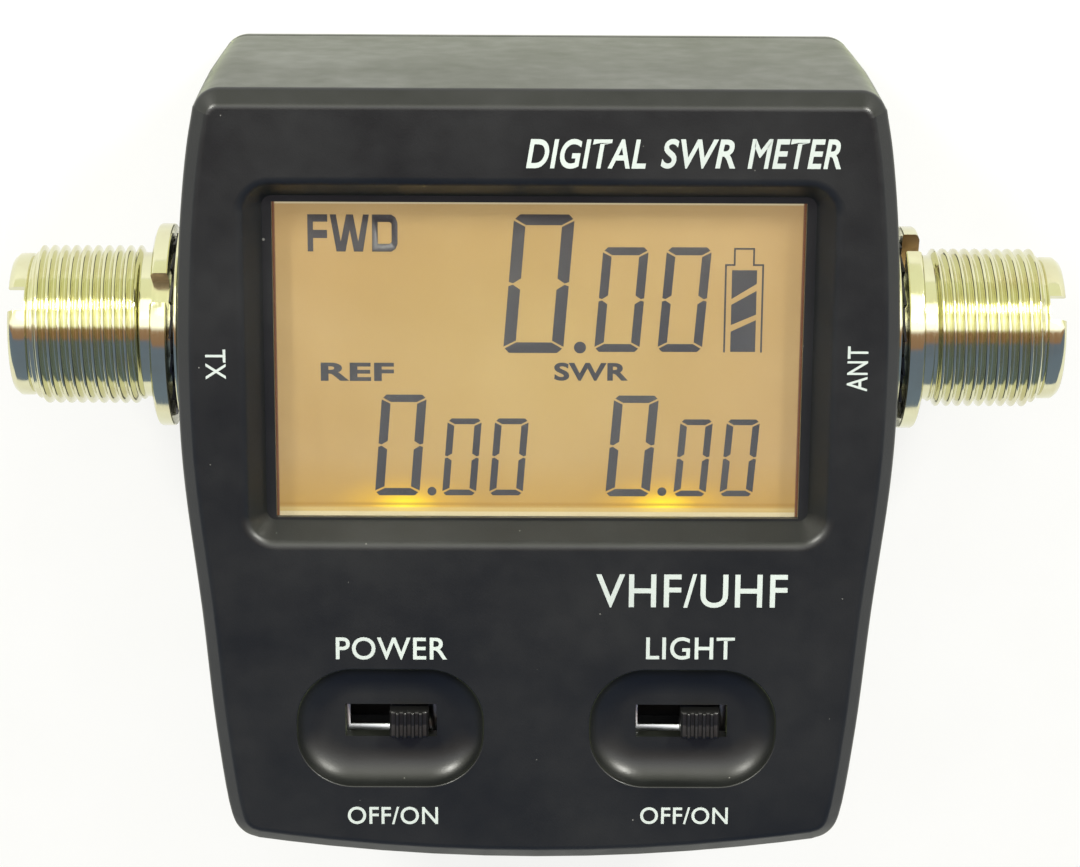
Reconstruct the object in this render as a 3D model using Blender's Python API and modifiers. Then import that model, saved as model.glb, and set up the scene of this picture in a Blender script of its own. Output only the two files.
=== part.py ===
"""Pocket SWR meter: a plastic case with a backlit display, two slide switches and a UHF socket on each side.

It lies on its back. +X points to the antenna socket, +Y to the top edge of the display, +Z out of the front
face, and Z = 0 is the surface under the four rubber feet. Sizes are in millimetres until a mesh is made.
"""
import math

import bmesh
import bpy
from mathutils import Matrix, Vector

MM = 0.001
GAP = 0.3              # clearance between pieces that touch

# Case
REAR_Z = 0.8           # outside of the rear cover, above the feet
FRONT_Z = 35.8         # front face
JOINT_Z = 2.7          # top of the rear cover's rim
SHOULDER = 1.45        # chamfer round the front face
WALL = 1.9
ROOF_Z = 33.6          # inside of the front face
AXIS_Y = 11.65         # common axis of the two sockets
AXIS_Z = 18.3
SIDE_STATIONS = ((31.62, 24.2), (32.3, 20.4), (33.1, 13.0), (33.6, 3.0), (33.55, -6.0), (33.2, -12.0),
                 (31.9, -24.0), (30.8, -36.0), (29.5, -44.9))
TOP_Y = 26.05          # top edge, measured from the socket axis
TOP_CORNER = 2.5
BOTTOM_Y = -49.4
BOTTOM_RADIUS = 186.0
BOTTOM_CORNER_X = 26.9

# Display, measured from the socket axis
POCKET_X = 27.45
POCKET_Y = (-17.0, 17.55)
POCKET_FLOOR_X = 25.8
POCKET_FLOOR_Y = (-15.95, 15.9)
POCKET_FLOOR_Z = 33.2
APERTURE_X = 24.7
APERTURE_Y = (-15.4, 15.05)
LEDGE_Z = 32.6         # underside of the display ledge

# Slide switches
SWITCH_X = 14.0
SWITCH_Y = -35.45 + AXIS_Y
SWITCH_TRAVEL = 3.5
DISH = (17.85, 12.1)
DISH_RADIUS = 5.4
DISH_DEPTH = 2.2
DISH_COVE = 2.6
SLOT = (8.8, 3.3)

# Main board
BOARD_Z = 24.4
BOARD_THICK = 1.6
BOARD_TOP = BOARD_Z + BOARD_THICK
BOARD_X = 25.3
BOARD_Y = (-43.0 + AXIS_Y, 23.3 + AXIS_Y)
POSTS = ((-19.0, 22.0 + AXIS_Y), (19.0, 22.0 + AXIS_Y), (-23.2, -22.9 + AXIS_Y), (23.2, -22.9 + AXIS_Y))
CASE_SCREWS = ((-28.6, 21.9 + AXIS_Y, 2.0), (28.6, 21.9 + AXIS_Y, 2.0),
               (-27.95, -38.0 + AXIS_Y, 1.9), (27.95, -38.0 + AXIS_Y, 1.9))
FEET = ((-21.0, 20.8 + AXIS_Y), (21.0, 20.8 + AXIS_Y), (-27.05, -43.6 + AXIS_Y), (27.05, -43.6 + AXIS_Y))
FOOT_RADIUS = 2.3

# Battery compartment
CELL_RADIUS = 5.25
CELL_LENGTH = 44.5
CELL_PITCH = 10.8
CELL_Z = 8.6
CELL_SHIFT = 1.2       # each cell lies towards its positive end, away from its spring
BAY_X = 24.7
BAY_Y = (-44.3 + AXIS_Y, -11.5 + AXIS_Y)
BAY_ROOF = 14.2
BAY_WALL = 1.0
RAIL_Z = 1.6           # top of the ledges that carry the door's side tongues
DOOR_X = 23.5
DOOR_TOP_Y = BAY_Y[1] - 0.9

# Sockets, distances from the middle of the case along X
SEAT_X = 34.1          # flat seat on the case
RING_X = (35.35, 37.0)
NECK_END = 38.17
THREAD_END = 48.75
TIP_X = 50.9
THREAD_PITCH = 1.058
CREST = 7.75
ROOT = 7.15
NECK = 6.8
BORE = 6.05
SOCKET_INNER_END = 25.9
HOLE = 7.15
NUT_X = 29.55          # middle of the inner nut
RIM_NOTCH = (2.4, 1.6)     # width and depth of the two keying notches in the rim
RING_SLOT = (3.0, 7.5)     # width of the two spanner slots in the outer ring, and the radius of their floor
# name, side, angle of the rim notches, angle of the ring slots; angles run from +Z towards +Y
SOCKETS = (("tx", -1, 34.5, 34.5), ("ant", 1, 30.0, 70.0))


def clear_scene():
    for obj in list(bpy.data.objects):
        bpy.data.objects.remove(obj, do_unlink=True)
    for collection in list(bpy.data.collections):
        bpy.data.collections.remove(collection)


clear_scene()
PARTS = bpy.data.collections.new("swr_meter")
CUTTERS = bpy.data.collections.new("cutters")
for group in (PARTS, CUTTERS):
    bpy.context.scene.collection.children.link(group)


def material(name, color, roughness, metallic=0.0):
    """A plain Principled material for one kind of piece."""
    found = bpy.data.materials.get(name)
    if found:
        return found
    made = bpy.data.materials.new(name)
    made.use_nodes = True
    shader = made.node_tree.nodes["Principled BSDF"]
    shader.inputs["Base Color"].default_value = (*color, 1.0)
    shader.inputs["Roughness"].default_value = roughness
    shader.inputs["Metallic"].default_value = metallic
    return made


def case_plastic():
    return material("case_plastic", (0.035, 0.038, 0.036), 0.55)


def black_plastic():
    return material("black_plastic", (0.01, 0.01, 0.011), 0.4)


def nickel():
    return material("nickel_plate", (0.72, 0.70, 0.64), 0.2, 1.0)


def steel():
    return material("steel", (0.45, 0.45, 0.46), 0.35, 1.0)


def add_object(name, bm, made_of=None, smooth=True):
    """Turn a bmesh in millimetres into an object in metres; without a material it becomes a cutter."""
    bmesh.ops.recalc_face_normals(bm, faces=bm.faces)
    bmesh.ops.scale(bm, vec=(MM, MM, MM), verts=bm.verts)
    mesh = bpy.data.meshes.new(name)
    bm.to_mesh(mesh)
    bm.free()
    if smooth:
        mesh.shade_smooth()
        mesh.set_sharp_from_angle(angle=math.radians(35))
    obj = bpy.data.objects.new(name, mesh)
    if made_of is None:
        CUTTERS.objects.link(obj)
        obj.hide_render = True
        obj.display_type = 'WIRE'
    else:
        PARTS.objects.link(obj)
        mesh.materials.append(made_of)
    return obj


def cut(obj, cutter, operation='DIFFERENCE'):
    modifier = obj.modifiers.new(cutter.name, 'BOOLEAN')
    modifier.operation = operation
    modifier.solver = 'EXACT'
    modifier.use_self = True      # a cutter may hold several separate shapes
    modifier.object = cutter


def put_box(bm, x, y, z):
    """Add an axis-aligned box given by its two limits on each axis."""
    low = Vector((min(x), min(y), min(z)))
    high = Vector((max(x), max(y), max(z)))
    place = Matrix.Translation((low + high) / 2) @ Matrix.Diagonal((high - low).to_4d())
    bmesh.ops.create_cube(bm, size=1.0, matrix=place)


def put_cylinder(bm, centre, radius, length, axis='Z', segments=24, tip=None):
    """Add a cylinder, or a cone with a tip radius, centred on a point."""
    turn = {'X': Matrix.Rotation(math.pi / 2, 4, 'Y'), 'Z': Matrix.Identity(4)}[axis]
    bmesh.ops.create_cone(bm, cap_ends=True, segments=segments, radius1=radius,
                          radius2=radius if tip is None else tip, depth=length,
                          matrix=Matrix.Translation(centre) @ turn)


def put_loft(bm, rings):
    """Skin matching rings of points into one closed solid."""
    loops = [[bm.verts.new(point) for point in ring] for ring in rings]
    count = len(loops[0])
    for lower, upper in zip(loops, loops[1:]):
        for i in range(count):
            j = (i + 1) % count
            bm.faces.new((lower[i], lower[j], upper[j], upper[i]))
    bm.faces.new(loops[0])
    bm.faces.new(loops[-1])


def spline(points, per_span):
    """Points along a Catmull-Rom curve through the given stations."""
    ends = [points[0]] + list(points) + [points[-1]]
    found = []
    for i in range(1, len(ends) - 2):
        a, b, c, d = (Vector(p) for p in ends[i - 1:i + 3])
        for k in range(per_span):
            t = k / per_span
            found.append(0.5 * (2 * b + (c - a) * t + (2 * a - 5 * b + 4 * c - d) * t ** 2
                                + (3 * b - a - 3 * c + d) * t ** 3))
    found.append(Vector(points[-1]))
    return found


def case_outline():
    """The front outline of the case, anticlockwise, round the origin."""
    side = spline(SIDE_STATIONS, 2)
    corner_centre = Vector((SIDE_STATIONS[0][0] - TOP_CORNER, TOP_Y - TOP_CORNER))
    top_arc = [corner_centre + TOP_CORNER * Vector((math.sin(a), math.cos(a)))
               for a in (math.radians(k) for k in (0, 25, 50))]
    low_end = BOTTOM_Y + BOTTOM_CORNER_X ** 2 / (2 * BOTTOM_RADIUS)
    low_corner = [Vector((28.95, -46.2)), Vector((28.1, low_end + 0.45))]
    bottom = [Vector((x, BOTTOM_Y + x * x / (2 * BOTTOM_RADIUS)))
              for x in (BOTTOM_CORNER_X, 20.0, 13.0, 6.5, 0.0)]
    right = [Vector((0.0, TOP_Y))] + top_arc + side + low_corner + bottom
    left = [Vector((-p.x, p.y)) for p in reversed(right[1:-1])]
    return [Vector((p.x, p.y + AXIS_Y)) for p in reversed(right + left)]


OUTLINE = case_outline()


def inset(distance, z):
    """The case outline moved inwards by a distance, at one height."""
    ring = []
    count = len(OUTLINE)
    for i, point in enumerate(OUTLINE):
        along = OUTLINE[(i + 1) % count] - OUTLINE[i - 1]
        inward = Vector((-along.y, along.x)).normalized()
        moved = point + inward * distance
        ring.append((moved.x, moved.y, z))
    return ring


def rounded_rectangle(x, y, radius, z, per_corner=4):
    """A ring of points with round corners, between two limits on each axis."""
    corners = ((x[1] - radius, y[1] - radius, 0), (x[0] + radius, y[1] - radius, 90),
               (x[0] + radius, y[0] + radius, 180), (x[1] - radius, y[0] + radius, 270))
    ring = []
    for cx, cy, start in corners:
        for k in range(per_corner + 1):
            a = math.radians(start + 90 * k / per_corner)
            ring.append((cx + radius * math.cos(a), cy + radius * math.sin(a), z))
    return ring


def plate(name, x, y, z, made_of, radius=0.0):
    """A flat plate, with round corners if a radius is given."""
    bm = bmesh.new()
    if radius:
        put_loft(bm, [rounded_rectangle(x, y, radius, level) for level in z])
    else:
        put_box(bm, x, y, z)
    return add_object(name, bm, made_of)


def turned(name, profile, made_of, side, segments=28):
    """Turn a closed profile of (radius, distance from the middle of the case) about the socket axis."""
    bm = bmesh.new()
    verts = [bm.verts.new((radius, 0.0, along)) for radius, along in profile]
    for a, b in zip(verts, verts[1:] + verts[:1]):
        bm.edges.new((a, b))
    bmesh.ops.scale(bm, vec=(MM, MM, MM), verts=bm.verts)
    mesh = bpy.data.meshes.new(name)
    bm.to_mesh(mesh)
    bm.free()
    obj = bpy.data.objects.new(name, mesh)
    PARTS.objects.link(obj)
    mesh.materials.append(made_of)
    obj.location = (0.0, AXIS_Y * MM, AXIS_Z * MM)
    obj.rotation_euler = (0.0, side * math.pi / 2, 0.0)
    screw = obj.modifiers.new("turn", 'SCREW')
    screw.axis = 'Z'
    screw.steps = segments
    screw.render_steps = segments
    screw.use_merge_vertices = True
    screw.merge_threshold = 0.00001
    screw.use_smooth_shade = True
    return obj


def put_across_notch(bm, side, angle, along, radii, width):
    """Add a small box across a round rim, at an angle from +Z towards +Y."""
    low, high = radii
    size = Vector((abs(along[1] - along[0]), width, high - low))
    place = (Matrix.Translation((side * (along[0] + along[1]) / 2, AXIS_Y, AXIS_Z))
             @ Matrix.Rotation(-math.radians(angle), 4, 'X')
             @ Matrix.Translation((0.0, 0.0, (low + high) / 2)) @ Matrix.Diagonal(size.to_4d()))
    bmesh.ops.create_cube(bm, size=1.0, matrix=place)


def stack(name, centre, profile, made_of, axis='Z', segments=12):
    """A round piece from (radius, distance along the axis) pairs, starting at its low end."""
    cx, cy, cz = centre
    rings = []
    for radius, along in profile:
        turn = [(radius * math.cos(2 * math.pi * k / segments), radius * math.sin(2 * math.pi * k / segments))
                for k in range(segments)]
        if axis == 'X':
            rings.append([(cx + along, cy + u, cz + v) for u, v in turn])
        else:
            rings.append([(cx + u, cy + v, cz + along) for u, v in turn])
    bm = bmesh.new()
    put_loft(bm, rings)
    return add_object(name, bm, made_of)


def wire(name, points, radius, made_of):
    """A round insulated lead along a smooth route."""
    curve = bpy.data.curves.new(name, 'CURVE')
    curve.dimensions = '3D'
    curve.bevel_depth = radius * MM
    curve.bevel_resolution = 1
    curve.use_fill_caps = True
    route = spline(points, 4)
    line = curve.splines.new('POLY')
    line.points.add(len(route) - 1)
    for point, place in zip(line.points, route):
        point.co = (*(place * MM), 1.0)
    curve.materials.append(made_of)
    obj = bpy.data.objects.new(name, curve)
    PARTS.objects.link(obj)
    return obj


# ---------------------------------------------------------------- case

def front_shell():
    """Moulded front half: outer skin, display pocket, switch dishes, socket seats, screw bosses."""
    bm = bmesh.new()
    put_loft(bm, [inset(WALL, JOINT_Z + GAP), inset(-0.15, JOINT_Z + GAP), inset(-0.3, AXIS_Z),
                  inset(0.0, FRONT_Z - SHOULDER), inset(SHOULDER, FRONT_Z)])
    bmesh.ops.delete(bm, geom=[f for f in bm.faces if len(f.verts) > 4 and f.calc_center_median().z < 5],
                     context='FACES_ONLY')
    rim = [v for v in bm.verts if v.co.z < JOINT_Z + 1]
    inner_rim = rim[:len(OUTLINE)]
    roof = [bm.verts.new(point) for point in inset(WALL + 0.15, ROOF_Z)]
    for i in range(len(roof)):
        j = (i + 1) % len(roof)
        bm.faces.new((inner_rim[i], inner_rim[j], roof[j], roof[i]))
    bm.faces.new(roof)
    shell = add_object("front_shell", bm, case_plastic())

    bm = bmesh.new()
    put_box(bm, (-29.0, 29.0), (-19.0 + AXIS_Y, 19.6 + AXIS_Y), (LEDGE_Z, ROOF_Z + 0.2))
    for side in (-1, 1):
        x = side * SWITCH_X
        pad_x, pad_y = (x - 10.4, x + 10.4), (SWITCH_Y - 7.5, SWITCH_Y + 7.5)
        put_loft(bm, [rounded_rectangle(pad_x, pad_y, 6.0, z)
                      for z in (ROOF_Z - DISH_DEPTH + 0.6, ROOF_Z + 0.2)])
        put_cylinder(bm, (side * (SEAT_X - 1.1), AXIS_Y, AXIS_Z), 10.6, 2.2, 'X', 36)
    for x, y in POSTS:
        put_cylinder(bm, (x, y, (BOARD_TOP + GAP + ROOF_Z + 0.2) / 2), 1.8,
                     ROOF_Z + 0.2 - BOARD_TOP - GAP, segments=16)
    for x, y, radius in CASE_SCREWS:
        put_cylinder(bm, (x, y, (JOINT_Z + ROOF_Z + 0.8) / 2), radius, ROOF_Z - JOINT_Z - 0.4, segments=16)
    cut(shell, add_object("shell_pads", bm), 'UNION')

    bm = bmesh.new()
    flare = 0.06           # how much wider the slope gets where the cutter stands above the face
    put_loft(bm, [rounded_rectangle((-POCKET_FLOOR_X, POCKET_FLOOR_X),
                                    (POCKET_FLOOR_Y[0] + AXIS_Y, POCKET_FLOOR_Y[1] + AXIS_Y), 0.9,
                                    POCKET_FLOOR_Z),
                  rounded_rectangle((-POCKET_X - flare, POCKET_X + flare),
                                    (POCKET_Y[0] + AXIS_Y - flare, POCKET_Y[1] + AXIS_Y + flare), 2.9,
                                    FRONT_Z + 0.1)])
    for side in (-1, 1):
        x = side * SWITCH_X
        rings = []
        for angle in (90, 60, 30, 0):
            step = DISH_COVE * (1 - math.cos(math.radians(angle)))
            z = FRONT_Z - DISH_DEPTH * math.sin(math.radians(angle))
            rings.append(rounded_rectangle((x - DISH[0] / 2 + step, x + DISH[0] / 2 - step),
                                           (SWITCH_Y - DISH[1] / 2 + step, SWITCH_Y + DISH[1] / 2 - step),
                                           DISH_RADIUS - step, z))
        rings.append([(px, py, pz + 0.5) for px, py, pz in rings[-1]])
        put_loft(bm, rings)
    cut(shell, add_object("pocket_cutter", bm))

    bm = bmesh.new()
    put_box(bm, (-APERTURE_X, APERTURE_X), (APERTURE_Y[0] + AXIS_Y, APERTURE_Y[1] + AXIS_Y), (31.5, 34.5))
    for side in (-1, 1):
        x = side * SWITCH_X
        put_box(bm, (x - SLOT[0] / 2, x + SLOT[0] / 2), (SWITCH_Y - SLOT[1] / 2, SWITCH_Y + SLOT[1] / 2),
                (31.0, 35.0))
        put_cylinder(bm, (side * 32.5, AXIS_Y, AXIS_Z), HOLE, 7.0, 'X', 28)
    for x, y in POSTS:
        put_cylinder(bm, (x, y, 28.4), 0.95, 5.0, segments=10)
    for x, y, radius in CASE_SCREWS:
        put_cylinder(bm, (x, y, 7.2), 1.15, 9.0, segments=10)
    cut(shell, add_object("hole_cutter", bm))


def cover_plate(name, made_of):
    """The rear cover's plate with its rolled edge, whole."""
    bm = bmesh.new()
    put_loft(bm, [inset(0.75, REAR_Z), inset(0.15, REAR_Z + 0.45), inset(-0.15, REAR_Z + 1.1),
                  inset(-0.15, JOINT_Z)])
    return add_object(name, bm, made_of)


def rear_shell():
    """Rear cover with the battery compartment, door rails, screw recesses and foot recesses."""
    shell = cover_plate("rear_shell", case_plastic())
    bm = bmesh.new()
    put_box(bm, (-BAY_X - BAY_WALL, BAY_X + BAY_WALL), (BAY_Y[0] - BAY_WALL, BAY_Y[1] + BAY_WALL),
            (JOINT_Z - 0.5, BAY_ROOF + BAY_WALL))
    put_box(bm, (-18.0, 18.0), (22.5 + AXIS_Y, 23.7 + AXIS_Y), (JOINT_Z - 0.5, 5.2))
    for side in (-1, 1):
        put_box(bm, (side * 29.9, side * 31.0), (-8.0 + AXIS_Y, 8.0 + AXIS_Y), (JOINT_Z - 0.5, 5.2))
    cut(shell, add_object("cover_ribs", bm), 'UNION')

    steps = (("bay_cutter", BAY_X, BAY_Y, (RAIL_Z, BAY_ROOF)),
             ("rail_cutter", BAY_X, (-70.0, BAY_Y[1]), (RAIL_Z, JOINT_Z + 0.2)),
             ("doorway_cutter", DOOR_X + GAP, (-70.0, DOOR_TOP_Y + GAP), (-1.0, RAIL_Z + 0.2)))
    for name, x, y, z in steps:
        bm = bmesh.new()
        put_box(bm, (-x, x), y, z)
        cut(shell, add_object(name, bm))
    bm = bmesh.new()
    for x, y, radius in CASE_SCREWS:
        put_cylinder(bm, (x, y, 0.0), 2.1, 4.0, segments=20)
    for x, y in FEET:
        put_cylinder(bm, (x, y, 0.0), FOOT_RADIUS + GAP, 2.6, segments=20)
    cut(shell, add_object("recess_cutter", bm))
    bm = bmesh.new()
    for x, y, radius in CASE_SCREWS:
        put_cylinder(bm, (x, y, 2.5), 1.15, 4.0, segments=12)
    cut(shell, add_object("screw_hole_cutter", bm))


def battery_door():
    """Sliding door: the plate's own curve at its outer end, two side tongues, grip grooves."""
    door = cover_plate("battery_door", case_plastic())
    bm = bmesh.new()
    put_box(bm, (-DOOR_X, DOOR_X), (-70.0, DOOR_TOP_Y), (0.0, RAIL_Z + GAP + 0.05))
    cut(door, add_object("door_blank", bm), 'INTERSECT')
    bm = bmesh.new()
    put_box(bm, (-BAY_X + GAP, BAY_X - GAP), (-46.4 + AXIS_Y, DOOR_TOP_Y), (RAIL_Z + GAP, JOINT_Z - 0.1))
    cut(door, add_object("door_tongues", bm), 'UNION')
    bm = bmesh.new()
    for k in range(4):
        put_box(bm, (-7.0, 7.0), (DOOR_TOP_Y - 5.0 - 1.6 * k, DOOR_TOP_Y - 4.2 - 1.6 * k),
                (REAR_Z - 1.0, REAR_Z + 0.4))
    cut(door, add_object("grip_cutter", bm))


def feet_and_case_screws():
    rubber = material("rubber", (0.02, 0.02, 0.02), 0.8)
    for k, (x, y) in enumerate(FEET, 1):
        profile = ((FOOT_RADIUS - 0.3, 0.0), (FOOT_RADIUS, 0.3), (FOOT_RADIUS, 1.0))
        stack("rubber_foot_%d" % k, (x, y, 0.0), profile, rubber, segments=20)
    head = ((1.35, 1.0), (1.75, 1.25), (1.75, 1.65), (0.85, 1.7), (0.85, 9.0), (0.3, 9.9))
    for k, (x, y, radius) in enumerate(CASE_SCREWS, 1):
        stack("case_screw_%d" % k, (x, y, 0.0), head, steel())


# ---------------------------------------------------------------- display

def display():
    """Window, display glass, holder, light guide, lamps and contact strip, from the front inwards."""
    plate("display_window", (-26.8, 26.8), (-17.6 + AXIS_Y, 17.9 + AXIS_Y), (LEDGE_Z - 0.9, LEDGE_Z - GAP),
          material("clear_plastic", (0.85, 0.87, 0.85), 0.05), 0.8)
    plate("lcd_glass", (-26.0, 26.0), (-16.9 + AXIS_Y, 18.6 + AXIS_Y), (29.6, 31.4),
          material("lcd_glass", (0.55, 0.42, 0.22), 0.15))
    holder = plate("lcd_holder", (-27.3, 27.3), (-19.9 + AXIS_Y, 19.6 + AXIS_Y), (BOARD_TOP + GAP, 31.2),
                   material("white_plastic", (0.75, 0.75, 0.72), 0.5), 0.8)
    bm = bmesh.new()
    put_box(bm, (-26.4, 26.4), (-18.8 + AXIS_Y, 18.9 + AXIS_Y), (25.0, 33.0))
    cut(holder, add_object("holder_cutter", bm))
    plate("light_guide", (-26.0, 26.0), (-16.6 + AXIS_Y, 16.6 + AXIS_Y), (BOARD_TOP + 0.4, 29.3),
          material("light_guide", (0.85, 0.6, 0.3), 0.3))
    for name, x in (("left", -12.3), ("right", 12.3)):
        plate("backlight_lamp_" + name, (x - 1.4, x + 1.4), (-18.4 + AXIS_Y, -16.95 + AXIS_Y),
              (BOARD_TOP + GAP, BOARD_TOP + 1.7), material("amber_lamp", (0.9, 0.5, 0.1), 0.3))
    plate("contact_strip", (-24.0, 24.0), (17.0 + AXIS_Y, 18.4 + AXIS_Y), (BOARD_TOP + GAP, 29.3),
          material("silicone", (0.1, 0.1, 0.11), 0.7))


# ---------------------------------------------------------------- boards and switches

def main_board():
    board = plate("main_board", (-BOARD_X, BOARD_X), BOARD_Y, (BOARD_Z, BOARD_TOP),
                  material("green_board", (0.02, 0.14, 0.06), 0.45))
    bm = bmesh.new()
    for x, y in POSTS:
        put_cylinder(bm, (x, y, 25.0), 1.0, 6.0, segments=12)
    cut(board, add_object("board_cutter", bm))

    head = ((0.8, 22.9), (1.6, 23.2), (1.7, 24.1), (0.6, 24.1), (0.6, 30.0), (0.3, 30.5))
    for k, (x, y) in enumerate(POSTS, 1):
        stack("board_screw_%d" % k, (x, y, 0.0), head, steel(), segments=10)

    top = BOARD_Z - GAP
    plate("processor_chip", (-6.0, 6.0), (-27.0, -15.0), (top - 1.4, top), black_plastic())
    plate("power_chip", (10.0, 15.0), (-24.0, -18.0), (top - 1.2, top), black_plastic())
    can = material("capacitor_can", (0.55, 0.56, 0.58), 0.3, 0.9)
    for name, x in (("left", -16.5), ("right", 19.5)):
        stack("capacitor_" + name, (x, -8.3, top), ((1.8, -3.9), (2.0, -3.7), (2.0, 0.0)), can, segments=16)


def slide_switch(name, side):
    """A switch can with its floor on the board, and the slider whose cap stands in the dish."""
    x = side * SWITCH_X
    can = plate(name + "_can", (x - 4.8, x + 4.8), (SWITCH_Y - 2.7, SWITCH_Y + 2.7), (BOARD_TOP + GAP, 30.5),
                steel())
    bm = bmesh.new()
    put_box(bm, (x - 4.2, x + 4.2), (SWITCH_Y - 2.1, SWITCH_Y + 2.1), (26.8, 29.8))
    cut(can, add_object(name + "_can_cutter", bm))
    bm = bmesh.new()
    put_box(bm, (x - 3.2, x + 3.2), (SWITCH_Y - 1.15, SWITCH_Y + 1.15), (29.0, 32.0))
    cut(can, add_object(name + "_slot_cutter", bm))

    rest = x + SWITCH_TRAVEL / 2
    slider = plate(name + "_knob", (rest - 1.85, rest + 1.85), (SWITCH_Y - 1.3, SWITCH_Y + 1.3), (31.6, 35.5),
                   black_plastic())
    bm = bmesh.new()
    put_box(bm, (rest - 0.8, rest + 0.8), (SWITCH_Y - 0.8, SWITCH_Y + 0.8), (27.5, 31.8))
    cut(slider, add_object(name + "_stem", bm), 'UNION')
    bm = bmesh.new()
    put_box(bm, (rest - 1.6, rest + 1.6), (SWITCH_Y - 1.7, SWITCH_Y + 1.7), (27.0, 28.3))
    cut(slider, add_object(name + "_shoe", bm), 'UNION')
    bm = bmesh.new()
    for k in range(3):
        put_box(bm, (rest - 0.15 + 0.95 * (k - 1), rest + 0.15 + 0.95 * (k - 1)),
                (SWITCH_Y - 2.0, SWITCH_Y + 2.0), (35.15, 36.0))
    cut(slider, add_object(name + "_grip_cutter", bm))


# ---------------------------------------------------------------- sockets

def socket(name, side, rim_angle, ring_angle):
    """UHF socket: threaded body, insulator, centre contact, two washers, outer ring and inner nut."""
    profile = [(6.45, TIP_X), (6.95, TIP_X - 0.45), (6.95, THREAD_END + 0.5)]
    turns = round((THREAD_END - NECK_END) / THREAD_PITCH)
    for k in range(turns):
        start = THREAD_END - THREAD_PITCH * k
        profile += [(ROOT, start), (CREST, start - THREAD_PITCH / 2)]
    profile += [(ROOT, NECK_END), (NECK, NECK_END - 0.1), (NECK, SOCKET_INNER_END), (BORE, SOCKET_INNER_END),
                (BORE, TIP_X)]
    body = turned(name + "_socket_body", profile, nickel(), side)
    bm = bmesh.new()
    width, depth = RIM_NOTCH
    for angle in (rim_angle, rim_angle + 180):
        put_across_notch(bm, side, angle, (TIP_X - depth, TIP_X + 1.0), (5.0, 8.5), width)
    cut(body, add_object(name + "_rim_notches", bm))

    cream = material("insulator", (0.82, 0.80, 0.72), 0.4)
    turned(name + "_insulator", [(5.75, 42.7), (5.75, 29.0), (3.1, 29.0), (3.1, 42.7)], cream, side, 24)
    turned(name + "_centre_contact",
           [(2.55, 43.3), (2.8, 43.0), (2.8, 29.5), (1.7, 29.0), (1.7, 26.0), (0.9, 26.0), (0.9, 30.5),
            (2.0, 31.0), (2.0, 42.9)],
           material("gold_plate", (0.75, 0.56, 0.25), 0.25, 1.0), side, 20)
    turned(name + "_flat_washer", [(10.0, SEAT_X + 0.55), (10.0, SEAT_X + 0.15), (HOLE, SEAT_X + 0.15),
                                   (HOLE, SEAT_X + 0.55)], nickel(), side, 36)
    turned(name + "_toothed_washer", [(9.4, RING_X[0] - 0.1), (9.4, SEAT_X + 0.65), (HOLE, SEAT_X + 0.65),
                                      (HOLE, RING_X[0] - 0.1)], steel(), side, 36)
    ring = turned(name + "_ring_nut", [(9.3, RING_X[1]), (9.9, RING_X[1] - 0.35), (9.9, RING_X[0]),
                                       (HOLE, RING_X[0]), (HOLE, RING_X[1])], nickel(), side, 36)
    bm = bmesh.new()
    width, floor_radius = RING_SLOT
    for angle in (ring_angle, ring_angle + 180):
        put_across_notch(bm, side, angle, (RING_X[0] - 0.6, RING_X[1] + 1.0), (floor_radius, 11.0), width)
    cut(ring, add_object(name + "_spanner_notches", bm))

    bm = bmesh.new()
    put_cylinder(bm, (side * NUT_X, AXIS_Y, AXIS_Z), 9.6, 2.6, 'X', 6)
    nut = add_object(name + "_inner_nut", bm, nickel())
    bm = bmesh.new()
    put_cylinder(bm, (side * NUT_X, AXIS_Y, AXIS_Z), HOLE, 6.0, 'X', 28)
    cut(nut, add_object(name + "_nut_bore", bm))


def coupler():
    """Power sensor between the sockets: tinned trough, through rod, cores on the rod and a small board."""
    tinned = material("tin_plate", (0.55, 0.56, 0.55), 0.35, 1.0)
    trough = plate("coupler_trough", (-25.5, 25.5), (AXIS_Y - 8.8, AXIS_Y + 8.8), (10.2, 19.5), tinned)
    bm = bmesh.new()
    put_box(bm, (-24.9, 24.9), (AXIS_Y - 8.2, AXIS_Y + 8.2), (10.8, 25.0))
    cut(trough, add_object("trough_cutter", bm))
    bm = bmesh.new()
    put_cylinder(bm, (0.0, AXIS_Y, AXIS_Z), 2.2, 60.0, 'X', 16)
    cut(trough, add_object("trough_holes", bm))
    bm = bmesh.new()
    put_cylinder(bm, (0.0, AXIS_Y, AXIS_Z), 0.6, 60.4, 'X', 12)
    add_object("through_line", bm, material("copper", (0.75, 0.38, 0.22), 0.3, 1.0))
    plate("coupler_board", (-23.5, 23.5), (AXIS_Y - 7.8, AXIS_Y + 7.8), (11.1, 12.3),
          material("green_board", (0.02, 0.14, 0.06), 0.45))
    ferrite = material("ferrite", (0.05, 0.05, 0.055), 0.6)
    for name, x in (("forward", -9.0), ("reflected", 9.0)):
        profile = [(4.6, x + 2.0), (4.6, x - 2.0), (0.95, x - 2.0), (0.95, x + 2.0)]
        turned("core_" + name, profile, ferrite, 1, 20)
    wire("sensor_lead", ((20.0, AXIS_Y + 6.0, 12.9), (20.0, AXIS_Y + 6.2, 16.0), (18.0, AXIS_Y + 6.6, 20.0),
                         (14.0, AXIS_Y + 7.0, 22.4), (9.0, AXIS_Y + 7.2, 23.3)), 0.5,
         material("white_lead", (0.7, 0.7, 0.68), 0.5))


# ---------------------------------------------------------------- battery

def cell_y(k):
    """Middle of one of the three cells, counted from the sockets towards the lower edge."""
    return BAY_Y[1] - 5.6 - CELL_PITCH * k


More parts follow.
